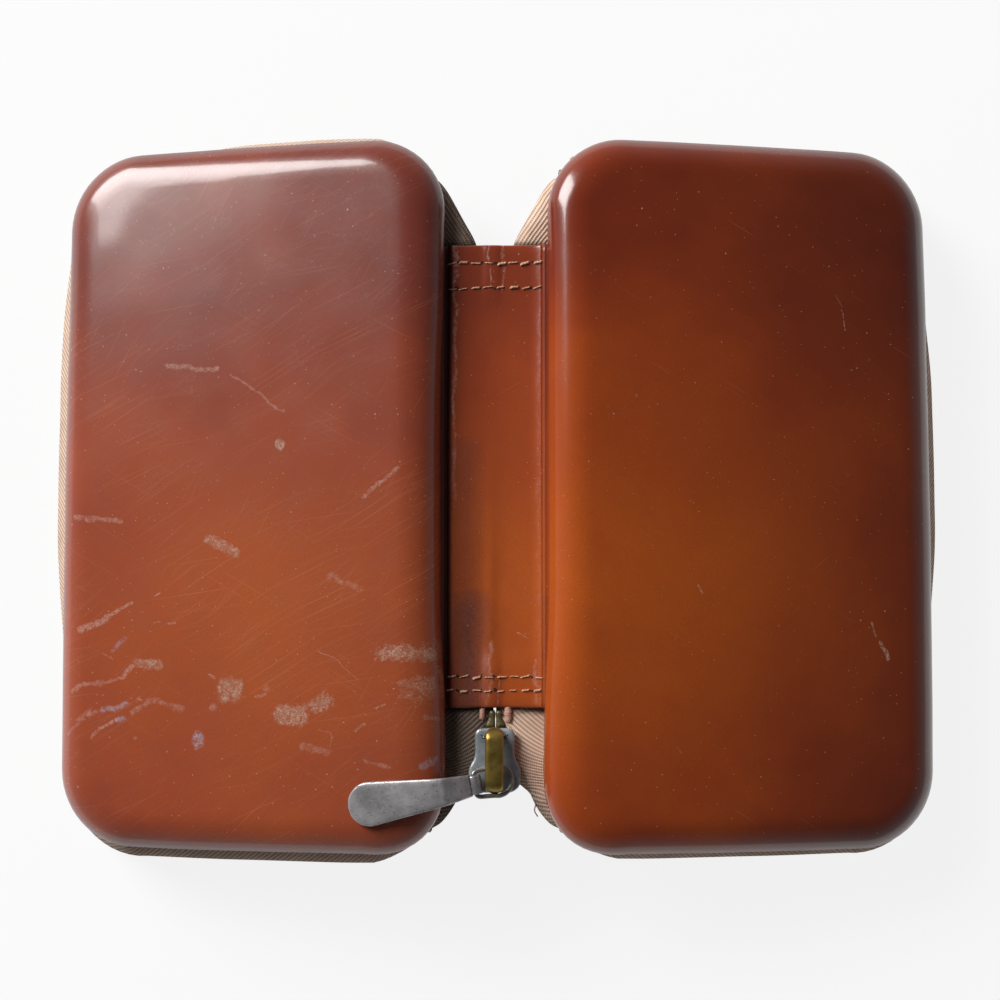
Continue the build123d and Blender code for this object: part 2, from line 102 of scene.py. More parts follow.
def on_spine(points, side=-1):
    """Points of the spine's frame before the lift, in mm, in metres; side 1 mirrors them."""
    p = np.asarray(points, float).reshape(-1, 3)
    return np.stack([-side * p[:, 0], p[:, 1], p[:, 2] + LIFT], 1) / 1000


def wobble(x, y, z, size, seed=0.0):
    """Smooth noise from -1 to 1 that changes over about size."""
    return noise.noise(Vector((x / size + seed, y / size - seed, z / size + 2 * seed)))


def bowed(base, way, out):
    """Plan point out millimetres from the inner rectangle, with the swell of the tray's sides."""
    x, y = base[0] + way[0] * out, base[1] + way[1] * out
    reach = min(max(out / CORNER_R, 0.0), 1.0)
    if x < 0:
        x += way[0] * BOW * reach * (1 - min(1.0, (y / (TRAY_L / 2)) ** 2))
    y += way[1] * BOW * reach * (1 - min(1.0, (x / (TRAY_W / 2)) ** 2))
    return x - MIDDLE_X, y


def tray_loop(step, arc_steps):
    """Walk round a tray's inner rectangle: (base, way out), from the spine wall's foot corner by the foot."""
    walk = []
    corners = ((CORNER_X, -CORNER_Y, 0), (-CORNER_X, -CORNER_Y, -90), (-CORNER_X, CORNER_Y, -180),
               (CORNER_X, CORNER_Y, -270))
    for i, (cx, cy, start) in enumerate(corners):
        for k in range(arc_steps + 1):
            a = math.radians(start - 90 * k / arc_steps)
            walk.append(((cx, cy), (math.cos(a), math.sin(a))))
        nx, ny, _ = corners[(i + 1) % 4]
        count = max(2, round(math.hypot(nx - cx, ny - cy) / step))
        a = math.radians(start - 90)
        for k in range(1, count):
            walk.append(((cx + (nx - cx) * k / count, cy + (ny - cy) * k / count), (math.cos(a), math.sin(a))))
    return walk


# ------------------------------------------------------------------ meshes
def piece(name, points, faces, uv=None, material=None, merge=False, smooth=True, edge=None):
    """A mesh object from points in metres; uv is one pair for each point, in decimetres."""
    mesh = bpy.data.meshes.new(name)
    mesh.from_pydata([tuple(p) for p in np.asarray(points)], [], [tuple(f) for f in faces])
    if uv is not None:
        layer = mesh.uv_layers.new(name="plan")
        index = np.empty(len(mesh.loops), int)
        mesh.loops.foreach_get("vertex_index", index)
        layer.data.foreach_set("uv", np.asarray(uv, float)[index].ravel())
    if edge is not None:
        mesh.attributes.new("edge", "FLOAT", "POINT").data.foreach_set("value", np.asarray(edge, float))
    work = bmesh.new()
    work.from_mesh(mesh)
    if merge:
        bmesh.ops.remove_doubles(work, verts=work.verts, dist=2e-6)
        bmesh.ops.dissolve_degenerate(work, edges=work.edges, dist=1e-7)
    bmesh.ops.recalc_face_normals(work, faces=work.faces)
    work.to_mesh(mesh)
    work.free()
    mesh.polygons.foreach_set("use_smooth", [smooth] * len(mesh.polygons))
    obj = bpy.data.objects.new(name, mesh)
    bpy.context.scene.collection.objects.link(obj)
    if material:
        mesh.materials.append(material)
    return obj


def grid_faces(rows, columns, wrap_rows=False, wrap_columns=False, start=0):
    """Quads of a grid whose point (i, j) is start + i * columns + j."""
    faces = []
    for i in range(rows if wrap_rows else rows - 1):
        for j in range(columns if wrap_columns else columns - 1):
            a, b = i * columns + j, i * columns + (j + 1) % columns
            c, d = (i + 1) % rows * columns + (j + 1) % columns, (i + 1) % rows * columns + j
            faces.append((start + a, start + b, start + c, start + d))
    return faces


def caps(rows, columns, start=0):
    """The two end faces of a closed tube of points."""
    last = start + (rows - 1) * columns
    return [tuple(range(start, start + columns)), tuple(range(last, last + columns))[::-1]]


def lengths(points):
    """Distance along a line at each of its points."""
    return np.concatenate([[0], np.cumsum(np.linalg.norm(np.diff(points, axis=0), axis=1))])


def headings(points):
    """Unit directions along a line at each of its points."""
    way = np.gradient(points, axis=0)
    return way / np.linalg.norm(way, axis=1)[:, None]


def soft_ring(sides, wide, tall):
    """Points round a unit square with soft corners; the powers set how square it is."""
    turns = [2 * math.pi * k / sides for k in range(sides)]
    return [(math.copysign(abs(math.cos(a)) ** wide, math.cos(a)),
             math.copysign(abs(math.sin(a)) ** tall, math.sin(a))) for a in turns]


def joined(name, parts, material=None):
    """One object from several."""
    bpy.ops.object.select_all(action="DESELECT")
    for part in parts:
        part.select_set(True)
    bpy.context.view_layer.objects.active = parts[0]
    bpy.ops.object.join()
    parts[0].name = name
    if material:
        parts[0].data.materials.clear()
        parts[0].data.materials.append(material)
    return parts[0]


def tube(name, path, radius, sides=8, material=None, closed=False):
    """A round tube along points in metres; radius is one number or one for each point."""
    p = np.asarray(path, float)
    count = len(p)
    radii = np.full(count, radius) if np.isscalar(radius) else np.asarray(radius)
    if closed:
        tangents = np.roll(p, -1, 0) - np.roll(p, 1, 0)
    else:
        tangents = np.gradient(p, axis=0)
    tangents /= np.linalg.norm(tangents, axis=1)[:, None]
    normal = np.cross(tangents[0], (0.0, 0.0, 1.0))
    if np.linalg.norm(normal) < 0.1:
        normal = np.cross(tangents[0], (1.0, 0.0, 0.0))
    points, uv, run = [], [], 0.0
    for i in range(count):
        normal = normal - tangents[i] * np.dot(normal, tangents[i])
        normal /= np.linalg.norm(normal)
        other = np.cross(tangents[i], normal)
        if i:
            run += np.linalg.norm(p[i] - p[i - 1])
        for k in range(sides):
            a = 2 * math.pi * k / sides
            points.append(p[i] + radii[i] * (math.cos(a) * normal + math.sin(a) * other))
            uv.append((run * 10, radii[i] * a * 10))
    faces = grid_faces(count, sides, wrap_rows=closed, wrap_columns=True)
    if not closed:
        faces += caps(count, sides)
    return piece(name, points, faces, uv, material)


def scatter(name, places, turns, sizes, thing, material):
    """Copies of a mesh at places in metres, each with its own turn, as one mesh made by Geometry Nodes."""
    mesh = bpy.data.meshes.new(name)
    mesh.from_pydata([tuple(p) for p in places], [], [])
    mesh.attributes.new("turn", "FLOAT_VECTOR", "POINT").data.foreach_set("vector", np.asarray(turns, float).ravel())
    mesh.attributes.new("size", "FLOAT_VECTOR", "POINT").data.foreach_set("vector", np.asarray(sizes, float).ravel())
    holder = bpy.data.objects.new(name + "_places", mesh)
    bpy.context.scene.collection.objects.link(holder)
    tree = bpy.data.node_groups.new(name + "_repeat", "GeometryNodeTree")
    tree.interface.new_socket("Geometry", in_out="INPUT", socket_type="NodeSocketGeometry")
    thing_in = tree.interface.new_socket("Thing", in_out="INPUT", socket_type="NodeSocketObject")
    tree.interface.new_socket("Geometry", in_out="OUTPUT", socket_type="NodeSocketGeometry")
    new, link = tree.nodes.new, tree.links.new
    start, end = new("NodeGroupInput"), new("NodeGroupOutput")
    info, copies = new("GeometryNodeObjectInfo"), new("GeometryNodeInstanceOnPoints")
    turn, size = new("GeometryNodeInputNamedAttribute"), new("GeometryNodeInputNamedAttribute")
    turn.data_type = size.data_type = "FLOAT_VECTOR"
    turn.inputs["Name"].default_value, size.inputs["Name"].default_value = "turn", "size"
    euler, real = new("FunctionNodeEulerToRotation"), new("GeometryNodeRealizeInstances")
    paint = new("GeometryNodeSetMaterial")
    paint.inputs["Material"].default_value = material
    link(start.outputs["Geometry"], copies.inputs["Points"])
    link(start.outputs["Thing"], info.inputs["Object"])
    link(info.outputs["Geometry"], copies.inputs["Instance"])
    link(turn.outputs["Attribute"], euler.inputs["Euler"])
    link(euler.outputs["Rotation"], copies.inputs["Rotation"])
    link(size.outputs["Attribute"], copies.inputs["Scale"])
    link(copies.outputs["Instances"], real.inputs["Geometry"])
    link(real.outputs["Geometry"], paint.inputs["Geometry"])
    link(paint.outputs["Geometry"], end.inputs["Geometry"])
    modifier = holder.modifiers.new("repeat", "NODES")
    modifier.node_group = tree
    modifier[thing_in.identifier] = thing
    bpy.context.view_layer.update()
    made = bpy.data.meshes.new_from_object(holder.evaluated_get(bpy.context.evaluated_depsgraph_get()))
    made.name = name
    if not made.materials:
        made.materials.append(material)
    obj = bpy.data.objects.new(name, made)
    bpy.context.scene.collection.objects.link(obj)
    bpy.data.objects.remove(holder)
    return obj


# ------------------------------------------------------------------ shaders
class Paint:
    """A material's node tree, with short ways to add nodes and link them."""

    def __init__(self, name, tree=None):
        if tree is None:
            self.material = bpy.data.materials.new(name)
            self.material.use_nodes = True
            self.tree = self.material.node_tree
            self.shader = self.tree.nodes["Principled BSDF"]
        else:
            self.tree = tree

    def add(self, kind, settings=None, **inputs):
        node = self.tree.nodes.new("ShaderNode" + kind)
        for key, value in (settings or {}).items():
            setattr(node, key, value)
        for key, value in inputs.items():
            self.put(node.inputs[int(key[1:]) if key[0] == "i" and key[1:].isdigit() else key], value)
        return node

    def put(self, socket, value):
        if isinstance(value, bpy.types.Node):
            value = value.outputs[0]
        if isinstance(value, bpy.types.NodeSocket):
            self.tree.links.new(value, socket)
        else:
            socket.default_value = value

    def math(self, operation, a, b=0.0, c=None, clamp=False):
        node = self.add("Math", {"operation": operation, "use_clamp": clamp}, i0=a, i1=b)
        if c is not None:
            self.put(node.inputs[2], c)
        return node.outputs[0]

    def times(self, a, b, clamp=False):
        return self.math("MULTIPLY", a, b, clamp=clamp)

    def plus(self, a, b, clamp=False):
        return self.math("ADD", a, b, clamp=clamp)

    def mix(self, factor, a, b, blend="MIX"):
        node = self.add("Mix", {"data_type": "RGBA", "blend_type": blend})
        for socket, value in ((node.inputs[0], factor), (node.inputs[6], a), (node.inputs[7], b)):
            self.put(socket, value)
        return node.outputs[2]

    def span(self, value, low, high, to_low=0.0, to_high=1.0):
        node = self.add("MapRange", {"clamp": True}, Value=value)
        for i, number in ((1, low), (2, high), (3, to_low), (4, to_high)):
            self.put(node.inputs[i], number)
        return node.outputs[0]

    def uv_mm(self):
        """The plan map in millimetres."""
        uv = self.add("UVMap", {"uv_map": "plan"})
        return self.add("VectorMath", {"operation": "SCALE"}, i0=uv.outputs[0], Scale=100.0).outputs[0]

    def object_mm(self):
        where = self.add("TexCoord").outputs["Object"]
        return self.add("VectorMath", {"operation": "SCALE"}, i0=where, Scale=1000.0).outputs[0]

    def grey(self, value):
        return self.add("CombineColor", i0=value, i1=value, i2=value).outputs[0]

    def noise(self, vector, size, detail=3.0, rough=0.5, distort=0.0):
        """Noise whose features are about size across."""
        node = self.add("TexNoise", Vector=vector, Scale=1 / size, Detail=detail, Roughness=rough, Distortion=distort)
        return node.outputs["Fac"]

    def stretched(self, vector, angle, along, across, offset=0.0):
        """The plan turned and squeezed, so that noise on it runs in lines."""
        node = self.add("Mapping", {"vector_type": "TEXTURE"}, Vector=vector)
        node.inputs["Location"].default_value = (offset, offset * 0.7, 0.0)
        node.inputs["Rotation"].default_value = (0.0, 0.0, math.radians(angle))
        node.inputs["Scale"].default_value = (along, across, 1.0)
        return node.outputs[0]

    def finish(self, colour, roughness, metallic=0.0, bump=None, strength=0.3, distance=0.0001, **fixed):
        self.put(self.shader.inputs["Base Color"], colour)
        self.put(self.shader.inputs["Roughness"], roughness)
        self.put(self.shader.inputs["Metallic"], metallic)
        if bump is not None:
            node = self.add("Bump", Height=bump, Strength=strength, Distance=distance)
            self.put(self.shader.inputs["Normal"], node.outputs[0])
        for key, value in fixed.items():
            self.shader.inputs[key.replace("_", " ")].default_value = value
        return self.material


def rgb(red, green, blue, share=1.0):
    """A screen colour from 0 to 255 as the shader's linear numbers, dimmed to a share of itself."""
    linear = (c / 255 / 12.92 if c < 10 else ((c / 255 + 0.055) / 1.055) ** 2.4 for c in (red, green, blue))
    return tuple(c * share for c in linear) + (1.0,)


# ------------------------------------------------------------------ materials
def mark_group():
    """Node group: how strongly a worn mark, or a patch of painted shadow, covers a point: a stroke with round ends,
    its edge torn by noise.
    """
    tree = bpy.data.node_groups.new("wear_and_shade_mark", "ShaderNodeTree")
    for name, kind in (("Place", "NodeSocketVector"), ("Centre", "NodeSocketVector"), ("Ragged", "NodeSocketFloat"),
                       ("Turn", "NodeSocketFloat"),
                       ("Reach", "NodeSocketFloat"), ("Half", "NodeSocketFloat"), ("Tear", "NodeSocketFloat"),
                       ("Soft", "NodeSocketFloat")):
        tree.interface.new_socket(name, in_out="INPUT", socket_type=kind)
    tree.interface.new_socket("Cover", in_out="OUTPUT", socket_type="NodeSocketFloat")
    paint = Paint("", tree)
    start, end = tree.nodes.new("NodeGroupInput"), tree.nodes.new("NodeGroupOutput")
    away = paint.add("VectorMath", {"operation": "SUBTRACT"}, i0=start.outputs["Place"], i1=start.outputs["Centre"])
    turned = paint.add("VectorRotate", {"rotation_type": "Z_AXIS"}, Vector=away.outputs[0],
                       Angle=start.outputs["Turn"])
    split = paint.add("SeparateXYZ", Vector=turned.outputs[0])
    beyond = paint.math("MAXIMUM", paint.math("SUBTRACT", paint.math("ABSOLUTE", split.outputs[0]),
                                              start.outputs["Reach"]), 0.0)
    far = paint.math("SQRT", paint.plus(paint.times(beyond, beyond), paint.times(split.outputs[1], split.outputs[1])))
    torn = paint.math("MULTIPLY_ADD", start.outputs["Ragged"], start.outputs["Tear"],
                      paint.math("DIVIDE", far, start.outputs["Half"]))
    inside = paint.math("DIVIDE", paint.math("SUBTRACT", 1.0, torn), start.outputs["Soft"], clamp=True)
    tree.links.new(inside, end.inputs["Cover"])
    return tree


MARK = mark_group()


def marks(paint, place, ragged, rows):
    """The most that any of the marks covers a point: rows are (x, y, length, width, turn, tear, soft, weight)."""
    cover = None
    for x, y, length, width, turn, tear, soft, weight in rows:
        node = paint.add("Group", {"node_tree": MARK})
        values = {"Centre": (x, y, 0.0), "Reach": max(0.0, length - width) / 2, "Half": width / 2,
                  "Turn": -math.radians(turn), "Tear": tear * 2.0, "Soft": soft}
        paint.put(node.inputs["Place"], place)
        paint.put(node.inputs["Ragged"], ragged)
        for key, value in values.items():
            node.inputs[key].default_value = value
        one = paint.times(node.outputs[0], weight)
        cover = one if cover is None else paint.math("MAXIMUM", cover, one)
    return cover


def scratches(paint, place, lines):
    """Thin scratches: lines are (turn, length, width, offset, threshold)."""
    cover = None
    for turn, length, width, offset, threshold in lines:
        run = paint.stretched(place, turn, length, width, offset)
        fine = paint.add("TexNoise", Vector=run, Scale=1.0, Detail=0.0).outputs["Fac"]
        one = paint.span(fine, threshold, threshold + 0.05)
        cover = one if cover is None else paint.math("MAXIMUM", cover, one)
    return cover


# worn marks on the left tray, in millimetres from its middle: x, y, length, width, turn, tear, soft, weight
LEFT_SPOTS = (
    (8.3, 9.3, 2.7, 2.5, 0, 0.5, 0.3, 1.0), (-1.6, -38.5, 6.2, 5.6, 0, 0.7, 0.35, 0.8),
    (-5.4, -36.2, 1.9, 0.9, -45, 0.8, 0.5, 0.5), (11.1, -43.4, 7.6, 4.6, 5, 0.7, 0.35, 0.9),
    (17.2, -41.0, 5.4, 3.9, 25, 0.9, 0.4, 0.8), (14.2, -42.0, 3.0, 2.4, 0, 1.0, 0.7, 0.5),
    (33.5, -31.5, 12.0, 3.2, -3, 1.5, 0.5, 0.85), (39.0, -31.0, 6.0, 4.2, 10, 1.8, 0.8, 0.5),
    (36.2, -38.2, 8.4, 5.6, 8, 1.4, 0.8, 0.65), (40.5, -35.5, 3.0, 4.0, 0, 1.8, 0.8, 0.45),
    (37.6, -43.6, 3.6, 1.0, -15, 1.2, 0.6, 0.45), (-18.6, -33.9, 5.8, 2.1, -3, 1.0, 0.4, 0.8),
    (-3.5, -10.6, 8.2, 2.6, -27, 1.2, 0.4, 0.7),
)
LEFT_SCUFFS = (
    (-30.5, -25.8, 7.5, 1.9, 26, 1.1, 0.5, 0.8), (-25.8, -23.4, 8.0, 0.9, 27, 1.0, 0.5, 0.75),
    (-27.0, -32.6, 2.8, 0.4, -28, 0.8, 0.5, 0.5), (-31.8, -44.1, 4.3, 1.4, 38, 1.2, 0.7, 0.45),
    (-34.0, -38.6, 3.2, 1.1, 41, 1.0, 0.5, 0.6), (-30.6, -37.6, 5.0, 1.1, 1, 1.0, 0.6, 0.55),
    (-26.2, -36.9, 4.8, 0.8, 19, 1.0, 0.5, 0.65), (-22.9, -35.2, 3.8, 1.1, 36, 1.0, 0.5, 0.75),
    (-33.9, -46.0, 5.6, 0.8, 31, 1.1, 0.5, 0.6), (-30.1, -43.9, 3.2, 1.2, 27, 1.1, 0.6, 0.5),
    (-30.3, -47.8, 2.4, 0.7, 55, 1.0, 0.5, 0.6), (-26.9, -45.7, 6.0, 0.7, 22, 1.0, 0.5, 0.75),
    (-20.6, -42.6, 4.6, 1.2, 30, 1.1, 0.6, 0.5), (-17.6, -41.0, 3.0, 1.5, 15, 1.1, 0.6, 0.5),
    (-13.9, -41.9, 6.0, 1.5, -22, 1.0, 0.6, 0.5), (-20.6, -40.8, 1.6, 1.3, 0, 0.9, 0.6, 0.5),
    (-4.7, -42.1, 1.9, 1.9, 0, 0.7, 0.5, 0.6), (-21.4, -48.8, 0.8, 0.8, 0, 0.5, 0.5, 0.7),
    (-32.1, -54.4, 0.6, 0.6, 0, 0.4, 0.5, 0.7), (-16.8, -25.7, 1.6, 0.5, 5, 0.8, 0.5, 0.5),
    (-13.6, -25.6, 1.9, 0.6, 10, 0.8, 0.5, 0.5), (-17.1, -19.9, 1.7, 0.35, 35, 0.5, 0.5, 0.7),
    (6.1, -38.3, 1.6, 1.5, 0, 0.8, 0.5, 0.55), (4.9, -39.7, 2.4, 0.6, 15, 0.9, 0.5, 0.5),
    (24.9, -45.7, 2.9, 0.6, 27, 0.7, 0.5, 0.6), (16.1, -49.9, 6.4, 1.5, -14, 1.3, 0.6, 0.45),
    (17.8, -46.5, 2.2, 0.3, -8, 0.6, 0.6, 0.5), (18.8, -48.3, 3.0, 0.3, 86, 0.6, 0.6, 0.5),
    (28.3, -52.4, 5.6, 0.9, -12, 1.2, 0.6, 0.45), (28.8, -41.3, 2.4, 0.5, 25, 0.8, 0.5, 0.45),
    (-29.6, -4.8, 11.0, 1.2, -8, 1.5, 0.6, 0.55), (-10.2, 24.9, 12.0, 1.0, -2, 1.9, 0.5, 0.6),
    (3.5, 19.4, 14.0, 0.6, -34, 1.8, 0.5, 0.45), (28.8, 1.3, 10.4, 0.9, 39, 1.8, 0.5, 0.6),
    (22.0, -17.8, 8.0, 1.6, -18, 1.8, 0.8, 0.45), (20.6, -33.6, 9.8, 0.2, -36, 0.3, 0.5, 0.6),
)
LEFT_WORN = (
    (41.2, -38.6, 4.6, 2.6, 90, 1.4, 0.5, 1.0), (43.0, -39.6, 4.0, 2.0, 80, 1.4, 0.5, 0.9),
    (40.6, -3.0, 5.0, 1.2, 90, 1.8, 0.7, 0.6),
)
LEFT_BLUE = (
    (-8.0, -48.4, 3.9, 2.9, 80, 0.7, 0.4, 0.85), (-25.0, -30.0, 4.2, 1.1, 51, 0.9, 0.7, 0.5),
    (-25.6, -42.5, 6.6, 1.5, 12, 1.0, 0.6, 0.7), (-24.4, -44.9, 2.6, 1.7, 25, 0.9, 0.6, 0.7),
    (37.0, -52.3, 3.6, 1.7, 40, 0.9, 0.5, 0.6),
)
RIGHT_SPOTS = (
    (10.6, -19.3, 2.2, 0.5, 56, 0.3, 0.4, 1.0), (-25.2, -27.2, 3.6, 0.5, 66, 0.5, 0.4, 0.9),
    (-27.0, -31.6, 4.4, 0.9, 66, 0.6, 0.4, 1.0), (-19.6, 34.6, 4.5, 0.35, 88, 0.4, 0.5, 0.6),
    (23.4, 18.4, 0.7, 0.7, 0, 0.2, 0.5, 0.7), (12.5, -1.9, 0.5, 0.5, 0, 0.2, 0.5, 0.6),
    (-19.0, 38.6, 3.0, 0.3, 60, 0.3, 0.5, 0.4), (15.0, -50.0, 1.6, 0.4, 45, 0.5, 0.5, 0.4),
)
# rubbed lines and wrinkles on the spine; the first two long pale rows, along the folds, are painted highlights
SPINE_WEAR_AND_SHEEN = (
    (-7.9, 24.0, 52.0, 0.8, 90, 1.9, 0.8, 0.55), (8.6, 2.0, 92.0, 1.2, 90, 1.7, 0.9, 0.14),
    (-1.2, 44.5, 9.5, 0.5, 90, 1.8, 0.8, 0.7), (1.7, 44.5, 9.5, 0.6, 90, 1.8, 0.8, 0.7),
    (-0.9, -35.5, 12.0, 0.8, 86, 1.8, 0.8, 0.7), (0.6, -38.6, 6.0, 0.4, 90, 1.6, 0.8, 0.7),
    (-7.6, 45.0, 8.0, 1.0, 90, 1.7, 0.8, 0.7), (7.9, -37.0, 9.0, 0.8, 90, 1.7, 0.8, 0.7),
    (5.4, -28.3, 2.4, 0.35, -20, 0.4, 0.5, 0.9),
)
# painted shadow of the left tray across the lower left of the spine
SPINE_SHADE = (
    (-5.6, -20.0, 64.0, 8.5, 90, 0.3, 1.0, 0.45), (-5.2, -34.0, 34.0, 11.0, 90, 0.3, 1.0, 1.05),
)
# colours of the hide and of its marks; each mark has a dull ground and paler ridges, but the shade tint is a painted
# shadow with no ridges; the two darkest hide colours are painted shade, on the rounded edges and walls and in the
# groove by the left fold
HIDE = {"deep": rgb(96, 26, 8), "mid": rgb(152, 60, 12), "warm": rgb(190, 90, 14), "edge": rgb(58, 18, 14),
        "groove_shade": rgb(40, 10, 10), "dust": rgb(224, 180, 150),
        "scratch": rgb(206, 140, 104), "film": rgb(170, 150, 160)}
# the shade tint is a painted shadow, its ground and ridge alike; the tint of the rubbed marks also paints the pale
# highlights along the spine's folds
MARK_TINTS = {"spot": (rgb(152, 106, 82), rgb(214, 190, 166)), "scuff_and_sheen": (rgb(168, 108, 90), rgb(210, 174, 158)),
              "worn": (rgb(96, 34, 14), rgb(232, 166, 116)),
              "blue": (rgb(142, 122, 132), rgb(186, 182, 198)), "shade": (rgb(66, 22, 12), rgb(66, 22, 12))}


def hide(name, painted_shading, warm_at, groups, scratch_share, age):
    """Smooth polished hide. painted_shading is painted light and shade across it, its brightness at the left and at
    the right, warm_at where it is most orange, groups the marks of each tint, and age how dull and marked it is."""
    paint = Paint(name)
    place = paint.uv_mm()
    broad = paint.noise(place, 34.0, 3.0, 0.5)
    cloud = paint.noise(place, 8.0, 5.0, 0.62)
    grain = paint.noise(place, 0.5, 5.0, 0.62)
    pores = paint.add("TexVoronoi", Vector=place, Scale=1 / 0.7).outputs["Distance"]
    away = paint.add("VectorMath", {"operation": "DISTANCE"}, i0=place, i1=warm_at).outputs["Value"]
    glow = paint.span(away, 8.0, 70.0, 1.0, 0.0)
    tone = paint.plus(paint.times(glow, 0.55), paint.times(broad, 0.6), clamp=True)
    colour = paint.mix(paint.span(tone, 0.1, 0.5), HIDE["deep"], HIDE["mid"])
    colour = paint.mix(paint.span(tone, 0.45, 1.0, 0.0, 0.8), colour, HIDE["warm"])
    colour = paint.mix(paint.span(cloud, 0.35, 0.75, 0.0, 0.16), colour, HIDE["deep"])
    colour = paint.mix(paint.span(grain, 0.35, 0.7, 0.0, 0.14), colour, HIDE["deep"])
    side = paint.add("SeparateXYZ", Vector=place).outputs[0]
    # painted shading: the hide darker at one side and lighter at the other, as the light falls on it
    colour = paint.mix(1.0, colour, paint.grey(paint.span(side, -38.0, 38.0, *painted_shading)), "MULTIPLY")
    edge = paint.add("Attribute", {"attribute_name": "edge"}).outputs["Fac"]
    # painted shade: the rounded edges and walls, turned from the light, darken toward the edge colour
    colour = paint.mix(paint.span(edge, 0.25, 1.0, 0.0, 0.7), colour, HIDE["edge"])
    # painted shade in the groove beside the left tray, where edge runs from 1 to 2
    colour = paint.mix(paint.span(edge, 1.0, 2.0), colour, HIDE["groove_shade"])
    height = paint.plus(paint.times(grain, 0.45), paint.times(pores, 0.30))
    rough = paint.plus(paint.span(cloud, 0.2, 0.8, 0.15 + 0.04 * age, 0.21 + 0.06 * age), paint.times(grain, 0.05))
    rough = paint.plus(rough, paint.span(edge, 0.5, 1.0, 0.0, 0.30), clamp=True)
    fine = paint.times(scratches(paint, place, scratch_share), paint.span(broad, 0.35, 0.6, 0.25, 1.0))
    colour = paint.mix(paint.times(fine, 0.42), colour, HIDE["scratch"])
    warp = paint.add("TexNoise", Vector=place, Scale=1 / 5.0, Detail=2.0)
    bent = paint.add("VectorMath", {"operation": "MULTIPLY_ADD"}, i0=warp.outputs["Color"], i1=(2.2, 2.2, 0.0),
                     i2=place).outputs[0]
    bent = paint.add("VectorMath", {"operation": "SUBTRACT"}, i0=bent, i1=(1.1, 1.1, 0.0)).outputs[0]
    ragged = paint.math("SUBTRACT", paint.noise(place, 1.3, 5.0, 0.7, 0.8), 0.5)
    ridges = paint.span(paint.noise(place, 0.55, 3.0, 0.55, 2.2), 0.46, 0.60)
    lace = paint.span(paint.noise(place, 1.0, 5.0, 0.7, 1.2), 0.40, 0.56, 0.12, 1.0)
    for tint, rows in groups.items():
        # the shade tint is a painted shadow, drawn without the lace; the rubbed-mark rows on the spine include
        # painted highlights
        cover = paint.times(marks(paint, bent, ragged, rows), 1.0 if tint == "shade" else lace)
        ground, ridge = MARK_TINTS[tint]
        colour = paint.mix(paint.times(cover, MARK_GROUND, clamp=True), colour, ground)
        colour = paint.mix(paint.times(paint.times(cover, ridges), MARK_RIDGE), colour, ridge)
        rough = paint.plus(rough, paint.times(cover, MARK_DULL), clamp=True)
    colour = paint.mix(0.055 * age, colour, HIDE["film"])
    speck = paint.noise(place, 0.55, 1.0, 0.4)
    dust = paint.span(speck, 0.765 - 0.02 * age, 0.80 - 0.02 * age)
    colour = paint.mix(paint.times(dust, 0.5), colour, HIDE["dust"])
    coat = paint.span(edge, 0.4, 0.9, 0.4, 0.0)
    paint.put(paint.shader.inputs["Coat Weight"], coat)
    return paint.finish(colour, rough, bump=height, strength=0.16, distance=0.0001, Coat_Roughness=0.07,
                        Specular_IOR_Level=0.5)


# runs of thin scratches: turn, length, width, offset, threshold
OLD_SCRATCHES = (
    (32, 34.0, 0.12, 3.0, 0.76), (24, 26.0, 0.11, 17.0, 0.76), (40, 22.0, 0.11, 31.0, 0.77),
    (-30, 28.0, 0.11, 47.0, 0.79), (8, 30.0, 0.11, 59.0, 0.78), (62, 18.0, 0.11, 71.0, 0.79),
)
FEW_SCRATCHES = (
    (30, 14.0, 0.12, 5.0, 0.84), (-40, 12.0, 0.12, 11.0, 0.85),
)


def plain(name, dark, light, size, rough, bump_size, strength=0.3, **fixed):
    """A simple worn surface: two colours mixed by cloudy noise, with a fine bump."""
    paint = Paint(name)
    place = paint.object_mm()
    cloud = paint.noise(place, size, 4.0, 0.6)
    fine = paint.noise(place, bump_size, 5.0, 0.6)
    colour = paint.mix(paint.span(cloud, 0.3, 0.7), dark, light)
    gloss = paint.plus(rough, paint.span(fine, 0.2, 0.8, -0.08, 0.10))
    return paint.finish(colour, gloss, bump=fine, strength=strength, distance=0.0001, **fixed)


def woven(name, shade=1.0, lean=40.0):
    """Coarse cotton twill: cords that lean by some degrees from the tape's length, each of short stitches."""
    paint = Paint(name)
    place = paint.uv_mm()
    split = paint.add("SeparateXYZ", Vector=place)
    along, across = split.outputs[0], split.outputs[1]
    sin, cos = math.sin(math.radians(lean)), math.cos(math.radians(lean))
    cords = paint.math("SUBTRACT", paint.times(across, cos), paint.times(along, sin))
    ply = paint.plus(paint.times(along, cos), paint.times(across, sin + 0.45))
    cord = paint.math("SINE", paint.times(cords, 2 * math.pi / 0.72))
    stitch = paint.math("SINE", paint.times(ply, 2 * math.pi / 0.5))
    cloth = paint.plus(paint.times(cord, 0.34), paint.times(stitch, 0.20))
    fuzz = paint.noise(place, 0.3, 4.0, 0.7)
    cloth = paint.plus(paint.plus(cloth, 0.40), paint.times(fuzz, 0.25))
    soil_and_shade = paint.noise(place, 7.0, 4.0, 0.6)
    # shade dims the whole cloth; the darker copies are painted shade for tape in a tray's shadow
    light, dark = rgb(250, 222, 198, shade), rgb(186, 142, 118, shade)
    colour = paint.mix(paint.span(cloth, 0.15, 0.62), dark, light)
    colour = paint.mix(paint.span(soil_and_shade, 0.45, 0.75, 0.0, 0.3), colour, rgb(150, 110, 88, shade))
    # the edge attribute darkens the cloth: painted shade along the teeth, under the spine's cut edge and on the foot
    # side, and a flat darkening of the left tape
    shade_mask = paint.add("Attribute", {"attribute_name": "edge"}).outputs["Fac"]
    colour = paint.mix(shade_mask, colour, rgb(46, 30, 22))
    return paint.finish(colour, 0.88, bump=cloth, strength=0.8, distance=0.00022, Specular_IOR_Level=0.2,
                        Sheen_Weight=0.1)


